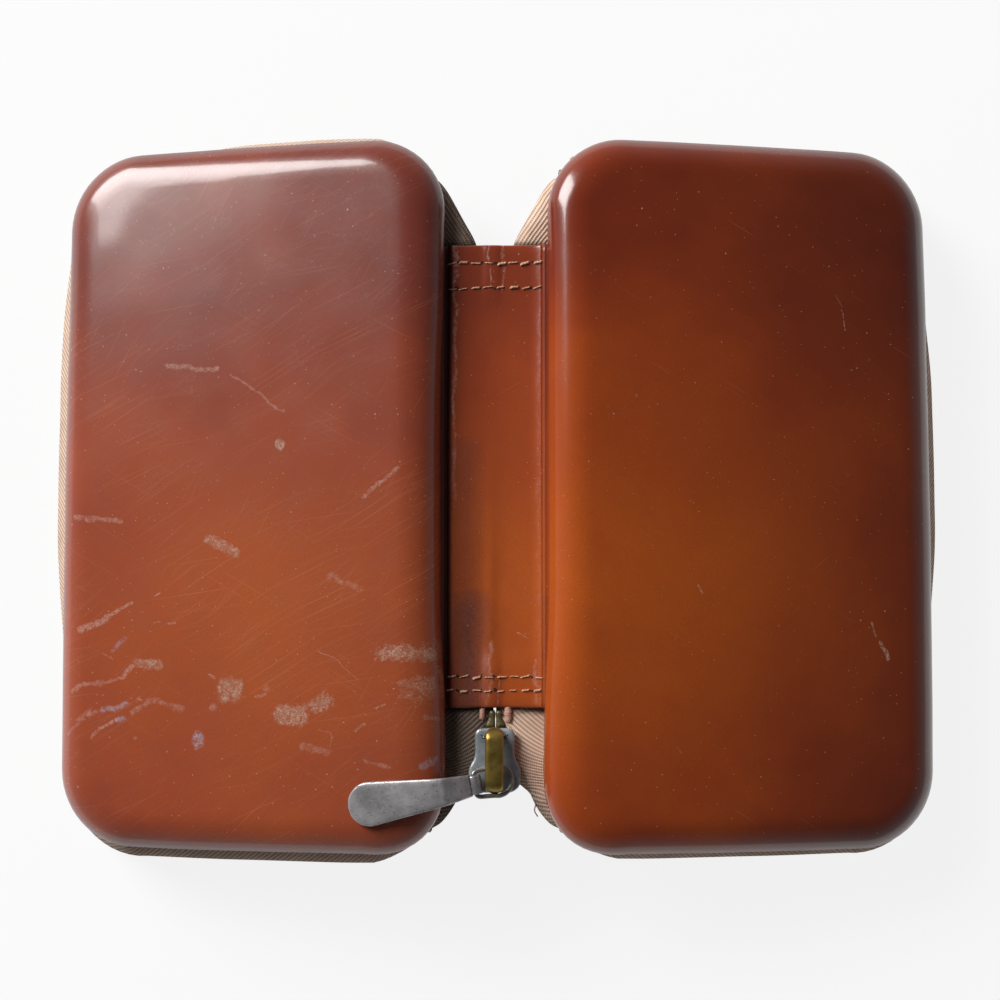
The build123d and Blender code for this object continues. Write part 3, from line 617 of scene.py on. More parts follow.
def pitted(name, base, bright, dark, rough, pit_share=0.60, metallic=0.6):
    """Worn plate, dulled all over, with small pits and darker stains."""
    paint = Paint(name)
    place = paint.object_mm()
    cloud = paint.noise(place, 5.0, 4.0, 0.6)
    brushed = paint.noise(place, 0.5, 4.0, 0.7)
    pits = paint.span(paint.noise(place, 0.45, 3.0, 0.6), pit_share, pit_share + 0.08)
    stain = paint.span(paint.noise(place, 1.6, 5.0, 0.7), 0.55, 0.75)
    colour = paint.mix(paint.span(cloud, 0.3, 0.7), base, bright)
    colour = paint.mix(paint.times(stain, 0.55), colour, dark)
    colour = paint.mix(paint.times(pits, 0.8), colour, dark)
    height = paint.math("SUBTRACT", paint.times(brushed, 0.35), pits)
    gloss = paint.plus(paint.span(cloud, 0.2, 0.8, rough - 0.06, rough + 0.08), paint.times(pits, 0.25))
    return paint.finish(colour, gloss, metallic, bump=height, strength=0.3, distance=0.00008)


# the pair after each hide's name is painted shading: its brightness at the left and at the right
leather = {
    "left": hide("hide_left", (1.0, 0.9), (6.0, -30.0, 0.0),
                 {"spot": LEFT_SPOTS, "scuff_and_sheen": LEFT_SCUFFS, "worn": LEFT_WORN, "blue": LEFT_BLUE},
                 OLD_SCRATCHES, 1.0),
    "right": hide("hide_right", (0.60, 1.16), (22.0, -20.0, 0.0), {"spot": RIGHT_SPOTS}, FEW_SCRATCHES, 0.3),
    "spine": hide("hide_spine", (0.75, 1.3), (5.0, -25.0, 0.0), {"shade": SPINE_SHADE, "scuff_and_sheen": SPINE_WEAR_AND_SHEEN},
                  FEW_SCRATCHES, 0.6),
}
tape_cloth = woven("tape_twill")
head_cloth = woven("tape_twill_head", 0.95, 4.0)
# the twill dimmed as painted shade, for the left ribbons in the left tray's shadow
shaded_cloth = woven("tape_shaded", 0.22)
shaded_head_cloth = woven("tape_shaded_head", 0.40, 4.0)
zip_metal = pitted("zip_aged_brass", rgb(96, 84, 58), rgb(140, 124, 88), rgb(44, 36, 28), 0.42)
slider_metal = pitted("slider_worn_plate", rgb(142, 148, 152), rgb(184, 190, 194), rgb(84, 82, 82), 0.34, 0.66, 0.55)
brass = pitted("bridge_dull_brass", rgb(128, 104, 46), rgb(176, 150, 80), rgb(62, 44, 24), 0.34, 0.66, 0.8)
pull_metal = pitted("pull_pitted_nickel", rgb(140, 136, 138), rgb(184, 180, 180), rgb(78, 72, 72), 0.36, 0.60, 0.55)
wire_metal = pitted("ring_worn_wire", rgb(128, 122, 116), rgb(184, 180, 174), rgb(70, 62, 58), 0.34, 0.64, 0.6)
thread_mat = plain("linen_thread", rgb(168, 118, 88), rgb(232, 190, 160), 1.5, 0.75, 0.2, 0.5)
cord_mat = plain("frayed_cord", rgb(170, 122, 104), rgb(214, 168, 148), 0.6, 0.85, 0.2, 0.6)
# painted shade of the needle holes
hole_shade_mat = plain("needle_hole_shade", rgb(24, 12, 8), rgb(40, 20, 14), 1.0, 0.9, 0.3)
lining_mat = plain("lining_skiver", rgb(88, 42, 26), rgb(120, 62, 38), 16.0, 0.5, 0.5, 0.35)
strap_mat = plain("strap_hide", rgb(98, 44, 22), rgb(136, 68, 36), 8.0, 0.45, 0.5, 0.3, Coat_Weight=0.1)
board_mat = plain("pressed_board", rgb(120, 96, 70), rgb(148, 122, 92), 3.0, 0.9, 0.4, 0.5)
pad_mat = plain("brushed_pad_cloth", rgb(132, 92, 66), rgb(164, 120, 90), 6.0, 0.95, 0.35, 0.6, Sheen_Weight=0.4)


# ------------------------------------------------------------------ trays
def inner_swell(base, way, side):
    """How far the hide puffs out toward the spine: most near the slider, and near the head of the left tray."""
    y = base[1] + way[1] * CORNER_R
    foot = 1 / (1 + math.exp((y + 33) / 4.5))
    head = 1 / (1 + math.exp((30 - y) / 5.0))
    amount = 0.35 + (1.25 if side < 0 else 1.1) * foot + (0.75 if side < 0 else 0.0) * head
    return amount * max(0.0, way[0]) + 0.7 * foot * max(0.0, way[0] * -way[1] * 2) ** 2


def cover(name, side, material):
    """Moulded hide of one tray: crowned top, rounded edge, wall, and the lip turned in at the rim."""
    walk = tray_loop(1.8, 14)
    start_out, wide, deep = CORNER_R - SHOULDER[0], *SHOULDER
    profile = [("top", out, 0.0, out) for out in (0, 2.5, 5, 6.8, start_out)]
    for k in range(1, 11):
        a = math.radians(9 * k)
        profile.append(("top", start_out + wide * math.sin(a), deep * (1 - math.cos(a)), start_out + k * 0.97))
    turn = start_out + 9.7
    profile += [("wall", CORNER_R, RIM_Z + 1.9, turn + 1), ("wall", CORNER_R, RIM_Z + 0.8, turn + 2),
                ("wall", CORNER_R - 0.1, RIM_Z + 0.3, turn + 2.6),
                ("wall", CORNER_R - 0.45, RIM_Z + 0.02, turn + 3), ("wall", CORNER_R - 1.2, RIM_Z - 0.02, turn + 4),
                ("wall", CORNER_R - 2.0, RIM_Z + 0.05, turn + 4.8),
                ("wall", CORNER_R - 2.38, RIM_Z + 0.5, turn + 5.4),
                ("wall", CORNER_R - 2.4, RIM_Z + 1.6, turn + 6.5)]
    points, uv, edge = [], [], []

    def crown(x, y):
        away = (x + MIDDLE_X) ** 2 + y ** 2
        uneven = 0.10 * wobble(x, y, 0, 24, 3.0 + side) + 0.04 * wobble(x, y, 0, 9, 8.0 + side)
        return TOP_Z + CROWN - away / 2 / CROWN_R + uneven

    for base, way in walk:
        for kind, out, drop, run in profile:
            rise = max(0.0, (out - 8) / 7) if kind == "top" else 0.5 if drop > RIM_Z + 1 else 0.0
            uneven = 0.10 * wobble(base[0] + way[0] * 9, base[1] + way[1] * 9, 3.0, 16, side)
            x, y = bowed(base, way, out + (uneven + inner_swell(base, way, side)) * rise)
            z = crown(x, y) - drop if kind == "top" else drop
            points.append((x, y, z))
            uv.append(((base[0] + way[0] * run) / 100, (base[1] + way[1] * run) / 100))
            # edge: painted shade on the rounded edge and the wall, less on the wall facing the spine; it also dulls
            # the coat there
            edge.append(min(1.0, max(0.0, (run - 11) / 6)) * (1 - (0.6 if side > 0 else 0.4) * max(0.0, way[0])))
    faces = grid_faces(len(walk), len(profile), wrap_rows=True)
    start = len(points)
    nx, ny = round(2 * CORNER_X / 1.8) + 1, round(2 * CORNER_Y / 1.8) + 1
    for i in range(nx):
        for j in range(ny):
            x, y = -CORNER_X + 2 * CORNER_X * i / (nx - 1), -CORNER_Y + 2 * CORNER_Y * j / (ny - 1)
            points.append((x - MIDDLE_X, y, crown(x - MIDDLE_X, y)))
            uv.append((x / 100, y / 100))
            edge.append(0.0)
    faces += grid_faces(nx, ny, start=start)
    return piece(name, stand(points, side), faces, uv, material, merge=True, edge=edge)


def bulge(base, way, side):
    """How far the tape swells out between the rim and its free edge: most at the middle of the outer side."""
    x, y = base[0] + way[0] * CORNER_R, base[1] + way[1] * CORNER_R
    middle, reach, most = (11.0, 40.0, 2.8) if side < 0 else (7.0, 30.0, 1.9)
    outer = max(0.0, -way[0]) * (2.0 + most * math.exp(-((y - middle) / reach) ** 4))
    head = max(0.0, way[1]) ** 2 * (0.9 + (1.6 * math.exp(-((x - 8) / 22) ** 4) if side < 0 else 0.0))
    foot = max(0.0, -way[1]) ** 2 * (3.3 if side < 0 else 2.4)
    inner = max(0.0, way[0])
    return outer + (head + foot) * (1 - 0.75 * inner) + 0.7 * inner + 0.15 * wobble(x, y, 0, 12, 5.0)


def edge_out(way):
    """How far outside the wall the toothed edge stands: well out at the outer side, tucked in toward the spine."""
    return 2.1 - (0.9 if way[1] > 0 else 2.4) * way[1] ** 2 - (3.4 if way[1] > 0 else 2.0) * max(0.0, way[0])


TAPE_ROOT = WALL_INSET + TAPE_T / 2   # from the wall's outside to the tape's middle
# the tape's line from its sewn margin to its toothed edge: share of the way out, height, share of the bulge
TAPE_LINE = ((0.0, RIM_Z + 2.9, 0.0), (0.0, RIM_Z + 1.2, 0.0), (0.01, RIM_Z + 0.1, 0.0),
             (0.08, RIM_Z - 0.7, 0.10), (0.26, RIM_Z - 1.7, 0.42), (0.50, RIM_Z - 3.0, 0.80),
             (0.73, RIM_Z - 4.3, 1.0), (0.90, RIM_Z - 5.6, 0.85), (0.98, RIM_Z - 6.8, 0.42), (1.0, TAPE_END_Z, 0.0))


def tape_line(base, way, side):
    """The tape's line at one place of its walk round the tray."""
    end, swell = edge_out(way), bulge(base, way, side)
    return [(*bowed(base, way, CORNER_R - TAPE_ROOT + (end + TAPE_ROOT) * share + swell * full), z)
            for share, z, full in TAPE_LINE]


EDGE_LIMIT = math.acos((CORNER_R - TAPE_SETBACK) / (CORNER_R + TAPE_SPLAY - TAPE_T / 2))


def edge_walk(step=1.3, arc_steps=14):
    """The part of a tray's loop that the tape follows: it is cut where it turns in to the spine."""
    limit = math.cos(EDGE_LIMIT)
    walk = [(b, w) for b, w in tray_loop(step, arc_steps) if not (b[0] > CORNER_X - 0.01 and w[0] > limit - 0.01)]
    ends = [((CORNER_X, sign * CORNER_Y), (limit, sign * math.sin(EDGE_LIMIT))) for sign in (-1, 1)]
    return ends[:1] + walk + ends[1:]


def run_lengths(walk, out):
    """Distance along a walk at an offset."""
    p = np.array([(b[0] + w[0] * (CORNER_R + out), b[1] + w[1] * (CORNER_R + out)) for b, w in walk])
    return lengths(p)


def skins(lines):
    """Points and faces of a cloth from its middle lines, in metres, and the distance across at each point."""
    points, across = [], []
    middle = np.array(lines)
    along = np.gradient(middle, axis=0)
    slope = np.gradient(middle, axis=1)
    normal = np.cross(slope, along)
    normal /= np.linalg.norm(normal, axis=2)[:, :, None]
    rows = middle.shape[1]
    for k in range(len(middle)):
        width = lengths(middle[k])
        for sign, order in ((1, range(rows)), (-1, range(rows - 1, -1, -1))):
            for r in order:
                points.append(middle[k, r] + sign * normal[k, r] * SKIN)
                across.append(width[r] - width[-1])
    n = 2 * rows
    faces = grid_faces(len(middle), n, wrap_columns=True)
    faces += caps(len(middle), n)
    return points, faces, across


def tape(name, side):
    """Tape round a half: two skins either side of its line."""
    walk = edge_walk()
    along = run_lengths(walk, 0.0)
    points, faces, across = skins([stand(tape_line(base, way, side), side) for base, way in walk])
    n = 2 * len(TAPE_LINE)
    uv = [(along[i // n] / 100, across[i] * 10) for i in range(len(points))]
    # painted shade along the foot side, where the tape lies in the tray's shade, and a flat darkening of the left
    # half's tape
    soil_and_shade = [(0.2 if side < 0 else 0.02) + 0.28 * max(0.0, -walk[i // n][1][1]) ** 2 for i in range(len(points))]
    return piece(name, points, faces, uv, tape_cloth, edge=soil_and_shade)


def tooth_places(edge, inner, first, last=0.0):
    """Where teeth stand along a toothed edge, in metres: place, heading along the tape, and way up the tape."""
    run = lengths(edge) * 1000
    places, s = [], first
    while s < run[-1] - last:
        i = min(max(1, int(np.searchsorted(run, s))), len(run) - 1)
        t = (s - run[i - 1]) / (run[i] - run[i - 1])
        here, up = edge[i - 1] + (edge[i] - edge[i - 1]) * t, inner[i - 1] + (inner[i] - inner[i - 1]) * t
        places.append((here, edge[i] - edge[i - 1], up - here))
        s += PITCH
    return places


def edge_places(side, phase):
    """Where the teeth of one half stand along its tape."""
    lines = np.array([stand(tape_line(b, w, side), side) for b, w in edge_walk(0.8, 20)])
    return tooth_places(lines[:, -1], lines[:, -3], TOOTH_W / 2 + phase * PITCH, TOOTH_W / 2)


def tooth_mesh():
    """One tooth with rounded jaws and a nib, its tip at -Z, its width along X; the origin is at the tape's edge."""
    half = TOOTH_T / 2
    outline = [(-half, 1.25), (-half * 0.98, -0.3), (-half * 0.86, -0.9), (-half * 0.55, -1.5),
               (-half * 0.25, -1.68), (half * 0.25, -1.68), (half * 0.55, -1.5), (half * 0.86, -0.9),
               (half * 0.98, -0.3), (half, 1.25), (half * 0.7, 1.42), (0.42, 1.3), (-0.42, 1.3), (-half * 0.7, 1.42)]
    points, faces = [], []
    layers = ((-0.5, 0.86), (-0.38, 1.0), (0.38, 1.0), (0.5, 0.86))
    for x, scale in layers:
        points += [(x * TOOTH_W * 0.001, y * scale * 0.001, (z * scale) * 0.001) for y, z in outline]
    n = len(outline)
    faces = grid_faces(len(layers), n, wrap_columns=True) + caps(len(layers), n)
    return piece("tooth_pattern", points, faces, None, zip_metal)


def axes_turn(along, up):
    """Euler turn whose X is along and whose Z is nearest up."""
    x = Vector(along).normalized()
    y = Vector(up).cross(x).normalized()
    z = x.cross(y)
    return Matrix((x, y, z)).transposed().to_euler("XYZ")


TOOTH = tooth_mesh()


def teeth(name, places):
    """A row of teeth as one mesh."""
    rng = random.Random(7)
    turns = [axes_turn(a, u) for _, a, u in places]
    sizes = [(1, 1 + rng.uniform(-0.04, 0.04), 1 + rng.uniform(-0.03, 0.03)) for _ in places]
    return scatter(name, [p for p, _, _ in places], turns, sizes, TOOTH, zip_metal)


def rim_band(name, side):
    """Hide strip inside the rim, over the tape's sewn margin."""
    walk = tray_loop(2.2, 12)
    inset = WALL_INSET + TAPE_T + 0.05
    section = [(-inset, RIM_Z + 2.9), (-inset, RIM_Z + 0.2), (-inset - 0.2, RIM_Z), (-inset - 0.6, RIM_Z),
               (-inset - 0.8, RIM_Z + 0.2), (-inset - 0.8, RIM_Z + 2.8), (-inset - 0.6, RIM_Z + 3.0)]
    points, uv = [], []
    along = run_lengths(walk, -inset)
    for (base, way), u in zip(walk, along):
        for k, (out, z) in enumerate(section):
            x, y = bowed(base, way, CORNER_R + out)
            points.append((x, y, z))
            uv.append((u / 100, k / 100))
    return piece(name, stand(points, side), grid_faces(len(walk), len(section), True, True), uv, strap_mat)


def pad(name, side, loops):
    """Padded panel under the tray's floor, drawn in along its edge and under the straps' sewn lands."""
    hx, hy = TRAY_W / 2 - LINING_INSET - 0.05 - PAD_BORDER, TRAY_L / 2 - LINING_INSET - 0.05 - PAD_BORDER
    radius = CORNER_R - LINING_INSET - 0.05 - PAD_BORDER
    pitch = (2 * hx - 2 * 2.2 - 3.2) / loops
    lands = [(i - loops / 2) * pitch for i in range(loops + 1)]
    nx, ny = 56, 100
    points, uv = [], []
    for i in range(nx + 1):
        for j in range(ny + 1):
            a, b = -1 + 2 * i / nx, -1 + 2 * j / ny
            x, y = hx * a, hy * b
            far = max(abs(x) - (hx - radius), 0), max(abs(y) - (hy - radius), 0)
            if far[0] and far[1]:
                length = math.hypot(*far)
                limit = radius * max(far) / length
                x = math.copysign(hx - radius + far[0] * limit / radius, x)
                y = math.copysign(hy - radius + far[1] * limit / radius, y)
            rim = (radius - math.hypot(abs(x) - hx + radius, abs(y) - hy + radius) if far[0] and far[1]
                   else min(hx - abs(x), hy - abs(y)))
            rise = math.sqrt(max(0.0, 1 - (1 - min(1.0, max(0.0, rim) / 2.4)) ** 2))
            pinch = max(math.exp(-((x - c) / 1.9) ** 2) * math.exp(-((abs(y) - 30) / 6.0) ** 4) for c in lands)
            puff = 0.55 * (1 - pinch) * (1 - math.exp(-((abs(y) - 30) / 9.0) ** 2))
            deep = PAD_T * (0.35 + 0.65 * rise) + rise * (puff + 0.1 * wobble(x, y, 0, 8, 2.0 * side))
            top = PAD_Z + PAD_T
            points.append((x - MIDDLE_X, y, top - deep))
            uv.append((x / 100, y / 100))
    count = (nx + 1) * (ny + 1)
    points += [(x, y, PAD_Z + PAD_T + 0.02) for x, y, z in points[:count]]
    uv += uv[:count]
    faces = grid_faces(nx + 1, ny + 1) + [tuple(reversed(f)) for f in grid_faces(nx + 1, ny + 1, start=count)]
    ring = [i * (ny + 1) for i in range(nx + 1)] + [nx * (ny + 1) + j for j in range(1, ny + 1)]
    ring += [i * (ny + 1) + ny for i in range(nx - 1, -1, -1)] + [j for j in range(ny - 1, 0, -1)]
    faces += [(ring[k], ring[(k + 1) % len(ring)], ring[(k + 1) % len(ring)] + count, ring[k] + count)
              for k in range(len(ring))]
    obj = piece(name, stand(points, side), faces, uv, pad_mat)
    return obj


for half, sign in SIDES:
    body = half + "_half"
    made = {"cover": cover(half + "_tray_hide", sign, leather[half]), "zip_tape": tape(half + "_tape", sign),
            "zip_teeth": teeth(half + "_teeth", edge_places(sign, 0.25 if sign < 0 else 0.75)),
            "rim_band": rim_band(half + "_rim_strip", sign),
            "tool_pad": pad(half + "_padding", sign, 4 if sign < 0 else 3)}
    for node, obj in made.items():
        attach(obj, body)
        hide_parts(f"{half}_{node}")


# ------------------------------------------------------------------ spine
def spine_top(x, y):
    """Height of the spine's hide: hollow between the folds, down to the groove at the left, up to the tray at the
    right, and raised over the tape ends sewn under it."""
    ends = max(math.exp(-((HEAD_Y - 4 - y) / 6.5) ** 4), math.exp(-((y - FOOT_Y - 4) / 6.0) ** 4))
    foot = 1 / (1 + math.exp((y + 10) / 7.0))
    hollow = (0.40 + 0.30 * foot) * (1 - (x / FOLD_X) ** 2) * (1 - 0.6 * ends)
    ridge = ends * 0.28 * math.exp(-((x + 0.6) / 1.6) ** 4) + 0.30 * foot * math.exp(-((x + 0.8) / 1.3) ** 2)
    groove = 0.85 * (max(0.0, -x - 7.9) / 1.45) ** 2
    rise = 0.45 * (max(0.0, x - 6.8) / 2.55) ** 2
    uneven = 0.09 * wobble(x, y, 0, 11, 4.0) + 0.04 * wobble(x, y, 0, 3.5, 9.0)
    return FOLD_Z + SPINE_T / 2 - hollow + ridge - groove + rise + uneven


def spine_hide():
    """The strip between the two folds, its cut ends rounded."""
    half, steps = FOLD_X - 0.15, 44
    ends = ((0.0, 0.5), (0.08, 0.22), (0.25, 0.06), (0.6, 0.0))
    rows = [(FOOT_Y + d, i) for d, i in ends]
    rows += [(FOOT_Y + 0.6 + (HEAD_Y - FOOT_Y - 1.2) * k / 70, 0.0) for k in range(1, 70)]
    rows += [(HEAD_Y - d, i) for d, i in reversed(ends)]
    points, uv, edge = [], [], []
    for y, inset in rows:
        ragged = 0.12 * wobble(1.0, y, 0, 3, 1.0)
        xs = [-half + 2 * half * k / steps for k in range(steps + 1)]
        for x in xs:
            yy = y + (0.18 * wobble(x, 0, 0, 4, 6.0 + (y > 0)) if inset else 0.0)
            points.append((x, yy, spine_top(x, y) - inset))
            uv.append((x / 100, yy / 100))
            # edge: the cut ends darken, partly their own dark cut edge and partly painted shade; toward the left
            # fold, painted shade in the groove
            edge.append(min(2.0, max(inset * 2, 1.6 * max(0.0, -x - 8.2) / 1.15)))
        for x in reversed(xs):
            yy = y + (0.18 * wobble(x, 0, 0, 4, 6.0 + (y > 0)) if inset else 0.0)
            points.append((x, yy, FOLD_Z - SPINE_T / 2 + 0.05 + inset * 0.5))
            uv.append((x / 100, yy / 100))
            edge.append(0.9)
    n = 2 * (steps + 1)
    faces = grid_faces(len(rows), n, wrap_columns=True)
    faces += caps(len(rows), n)
    return piece("spine_hide", on_spine(points), faces, uv, leather["spine"], edge=edge)


def fold_strip(side):
    """Hide that turns up from the spine to the tray's wall, along one fold line."""
    name = "left" if side < 0 else "right"
    rows = [FOOT_Y + (HEAD_Y - FOOT_Y) * k / 60 for k in range(61)]
    points, uv = [], []
    for y in rows:
        top = spine_top(side * (FOLD_X - 0.15), y)
        dip = (0.12 if side < 0 else -0.25) + 0.08 * wobble(3.0, y, 0, 7, 2.0 + side)
        near = [(-FOLD_X + 0.2, y, top), (-FOLD_X - 0.15, y, top - dip), (-FOLD_X - 0.42, y, top - 1.5 * dip)]
        wall = [(-WALL_X + 0.10, y, FOLD_Z + 1.0), (-WALL_X - 0.05, y, FOLD_Z + 2.0),
                (-WALL_X - 0.5, y, FOLD_Z + 2.6)]
        under = [(-WALL_X - 0.6, y, FOLD_Z + 0.2), (-FOLD_X - 0.35, y, FOLD_Z - 0.5)]
        spine_part = on_spine(near, side)
        wall_part = stand(wall, side)
        under_part = np.concatenate([stand(under[:1], side), on_spine(under[1:], side),
                                     on_spine([(-FOLD_X + 0.2, y, FOLD_Z - 0.5)], side)])
        points += list(spine_part) + list(wall_part) + list(under_part)
        uv += [((-FOLD_X + 0.2 - k * 0.35) * side / 100, y / 100)
               for k in range(6)] + [((-FOLD_X - 1.5 + k * 0.35) / 100, y / 100) for k in range(3)]
    n = 9
    faces = grid_faces(len(rows), n, wrap_columns=True) + caps(len(rows), n)
    # the left strip is painted dark as the shade in the groove beside the left tray
    obj = piece(name + "_fold_hide", points, faces, uv, leather["spine"],
                edge=[1.35 if side < 0 else 0.0] * len(points))
    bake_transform(obj)
    return obj


def through(points, count):
    """Evenly spaced points of a smooth line through a few given ones."""
    p = np.asarray(points, float)
    p = np.concatenate([[2 * p[0] - p[1]], p, [2 * p[-1] - p[-2]]])
    fine = []
    for i in range(1, len(p) - 2):
        for t in np.linspace(0, 1, 20, endpoint=False):
            fine.append(0.5 * (2 * p[i] + (p[i + 1] - p[i - 1]) * t
                               + (2 * p[i - 1] - 5 * p[i] + 4 * p[i + 1] - p[i + 2]) * t ** 2
                               + (3 * p[i] - p[i - 1] - 3 * p[i + 1] + p[i + 2]) * t ** 3))
    fine = np.array(fine + [p[-2]])
    run = lengths(fine)
    share = np.linspace(0, run[-1], count)
    return np.stack([np.interp(share, run, fine[:, i]) for i in range(fine.shape[1])], 1)


# free edge of the tape from a tray's corner to the spine: distance from the middle, distance along the spine, height
HEAD_EDGE = ((15.9, 65.6, 4.6), (13.7, 64.4, 5.6), (11.8, 62.8, 6.6), (9.7, 60.0, 7.8), (6.6, 54.3, 8.9),
             (3.9, 49.2, TAIL_Z), (3.2, 44.5, TAIL_Z))
FOOT_EDGE = ((16.4, -68.2, 4.6), (14.2, -67.4, 5.3), (12.3, -65.9, 6.1), (10.7, -64.3, 6.9), (9.2, -62.5, 7.7),
             (8.0, -60.6, 8.4), (6.9, -58.4, 8.8), (4.6, -56.4, TAIL_Z), (2.2, -53.6, TAIL_Z),
             (0.9, -50.0, TAIL_Z), (0.4, -45.0, TAIL_Z), (0.4, -39.0, TAIL_Z))


def corner_ribbon(side, end):
    """Tape between a tray's inner corner and the spine: sewn along the wall, its toothed edge runs to the middle.
    end is -1 at the slider and 1 at the head. Gives the tape's piece and the places of its teeth."""
    name = ("left" if side < 0 else "right") + ("_foot" if end < 0 else "_head") + "_ribbon"
    count, spine_end = 48, (FOOT_Y if end < 0 else HEAD_Y) - end * 4
    free = through(FOOT_EDGE if end < 0 else HEAD_EDGE, count + 1)
    free = on_spine([(-x, y, z) for x, y, z in free], side)
    lines = []
    for k in range(count + 1):
        t = k / count
        if t < 0.42:
            a = end * EDGE_LIMIT * (1 - t / 0.42)
            base, way = (CORNER_X, end * CORNER_Y), (math.cos(a), math.sin(a))
        else:
            base, way = (CORNER_X, end * CORNER_Y + (spine_end - end * CORNER_Y) * (t - 0.42) / 0.58), (1.0, 0.0)
        own = stand(tape_line(base, way, side), side)
        flat = own.copy()
        inward = own[0] - free[k]
        inward[2] = 0
        inward /= np.linalg.norm(inward)
        for r in range(4, 8):
            u = (r - 3) / 4
            rise = 0.0005 * math.sin(math.pi * u) + 0.00010 * wobble(k * 1.3, r * 1.5, 0, 5, side + end)
            flat[r] = own[3] + (free[k] - own[3]) * u + np.array((0, 0, rise))
        flat[8] = free[k] + inward * 0.0006 - np.array((0, 0, 0.0008))
        flat[9] = free[k] + inward * 0.0018 - np.array((0, 0, 0.0016))
        share = min(1.0, t / 0.22)
        share = share * share * (3 - 2 * share)
        lines.append(own + (flat - own) * share)
    points, faces, across = skins(lines)
    lines = np.array(lines)
    run = lengths(lines[:, 7])
    n = 2 * len(TAPE_LINE)
    uv = [(run[i // n] * 10, across[i] * 10) for i in range(len(points))]
    rows = list(range(len(TAPE_LINE))) + list(range(len(TAPE_LINE) - 1, -1, -1))
    soil_and_shade = []
    for i in range(len(points)):
        # painted shade on the cloth next to the teeth, shaded by the slider, and a painted shadow under the spine's
        # cut edge
        near_teeth = (0.0, 0.0, 0.3, 1.0)[max(0, rows[i % n] - 5) if rows[i % n] < 9 else 3]
        hem = math.exp(-((points[i][1] * 1000 - (FOOT_Y - 0.3 if end < 0 else HEAD_Y + 0.2)) / 0.7) ** 2)
        soil_and_shade.append(min(1.0, max(near_teeth * (1.0 if end < 0 else 0.35), 0.85 * hem)))
    # the left ribbons take the dimmed cloth as painted shade
    cloths = (shaded_cloth, tape_cloth) if end < 0 else (shaded_head_cloth, head_cloth)
    obj = piece(name, points, faces, uv, cloths[side > 0], edge=soil_and_shade)
    return obj, teeth(name + "_teeth", tooth_places(lines[:, -1], lines[:, -3], PITCH * 0.6,
                                                    24.0 if end < 0 else 8.0))


spine = spine_hide()
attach(spine, "spine")
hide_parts("spine_leather")
Z_FOLD = (FOLD_Z + LIFT) / 1000
ends = {}
for half, sign in SIDES:
    fold_strip(sign)
    for end in (-1, 1):
        ribbon, row = corner_ribbon(sign, end)
        for obj in (ribbon, row):
            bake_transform(obj)
        ends.setdefault(half, []).append(ribbon)
for half, sign in SIDES:
    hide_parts(half + "_tape_ends")


# ------------------------------------------------------------------ thread
def stitch_pattern():
    """One hand-size stitch of two twisted strands along X, its ends going down into their holes."""
    strands = []
    for phase in (0.0, math.pi):
        path = []
        for k in range(17):
            t = -1 + k / 8
            lift = 0.20 - 0.45 * max(0.0, abs(t) - 0.72) / 0.28
            a = phase + t * math.pi * 1.7
            path.append((t * 0.00100, 0.00008 * math.cos(a) + 0.00012 * t ** 3, (lift + 0.07 * math.sin(a)) * 0.001))
        strands.append(tube("strand", path, 0.00011, 6, thread_mat))
    return joined("stitch_pattern", strands, thread_mat)


def hole_pattern():
    """A flat dark disc: the painted shade of a needle hole, pulled long by the thread."""
    points = [(0, 0, 0.00001)] + [(0.00040 * math.cos(a), 0.00030 * math.sin(a), 0.00003)
                                  for a in np.linspace(0, 2 * math.pi, 13)[:-1]]
    faces = [(0, 1 + k, 1 + (k + 1) % 12) for k in range(12)]
    return piece("hole_pattern", points, faces, None, hole_shade_mat)


STITCH, HOLE = stitch_pattern(), hole_pattern()


def spine_seam(name, y, rng):
    """Stitches of one row across the spine, each a little out of line, with dark discs between them as the painted
    shade of their holes.
    """
    xs = [(i - (STITCHES - 1) / 2) * STITCH_PITCH for i in range(STITCHES)]
    places, turns, sizes, holes = [], [], [], []
    for x in xs:
        yy = y + rng.uniform(-0.16, 0.16)
        slope = spine_top(x + 0.5, y) - spine_top(x - 0.5, y)
        places.append((x + rng.uniform(-0.25, 0.25), yy, spine_top(x, yy) - 0.02))
        turns.append((rng.uniform(-0.4, 0.4), -math.atan(slope), rng.uniform(-0.16, 0.22)))
        thick = rng.choice((0.7, 0.85, 1.0, 1.5))
        sizes.append((rng.uniform(0.7, 1.1), thick, 0.5 + 0.5 * thick))
    for x in [xs[k] - STITCH_PITCH / 2 + rng.uniform(-0.2, 0.2) for k in (1, 3, 4, 7)]:
        holes.append((x, y + rng.uniform(-0.1, 0.25), spine_top(x, y)))
    thread = scatter(name, on_spine(places), turns, sizes, STITCH, thread_mat)
    dark = scatter(name + "_holes", on_spine(holes), [(0, 0, rng.uniform(-0.5, 0.5)) for _ in holes],
                   [(rng.uniform(0.7, 1.2),) * 3 for _ in holes], HOLE, hole_shade_mat)
    return thread, dark


rng = random.Random(3)
for node, y in (("head_seam_outer", HEAD_Y - 3.7), ("head_seam_inner", HEAD_Y - 8.7),
                ("foot_seam_outer", FOOT_Y + 3.3), ("foot_seam_inner", FOOT_Y + 6.0)):
    thread, dark = spine_seam(node.replace("seam", "thread"), y, rng)
    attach(thread, "spine")
    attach(dark, "spine")
    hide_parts(node)


# ------------------------------------------------------------------ pull
def crown_at(x, y):
    """Height of the drooped left tray's top above a point, in the spine's frame before the lift."""
    top = TOP_Z + CROWN - FOLD_Z
    across = (x + FOLD_X + top * SIN) / COS
    away = (across - FOLD_X + MIDDLE_X) ** 2 + y ** 2
    return FOLD_Z + across * SIN + (top - away / 2 / CROWN_R) * COS


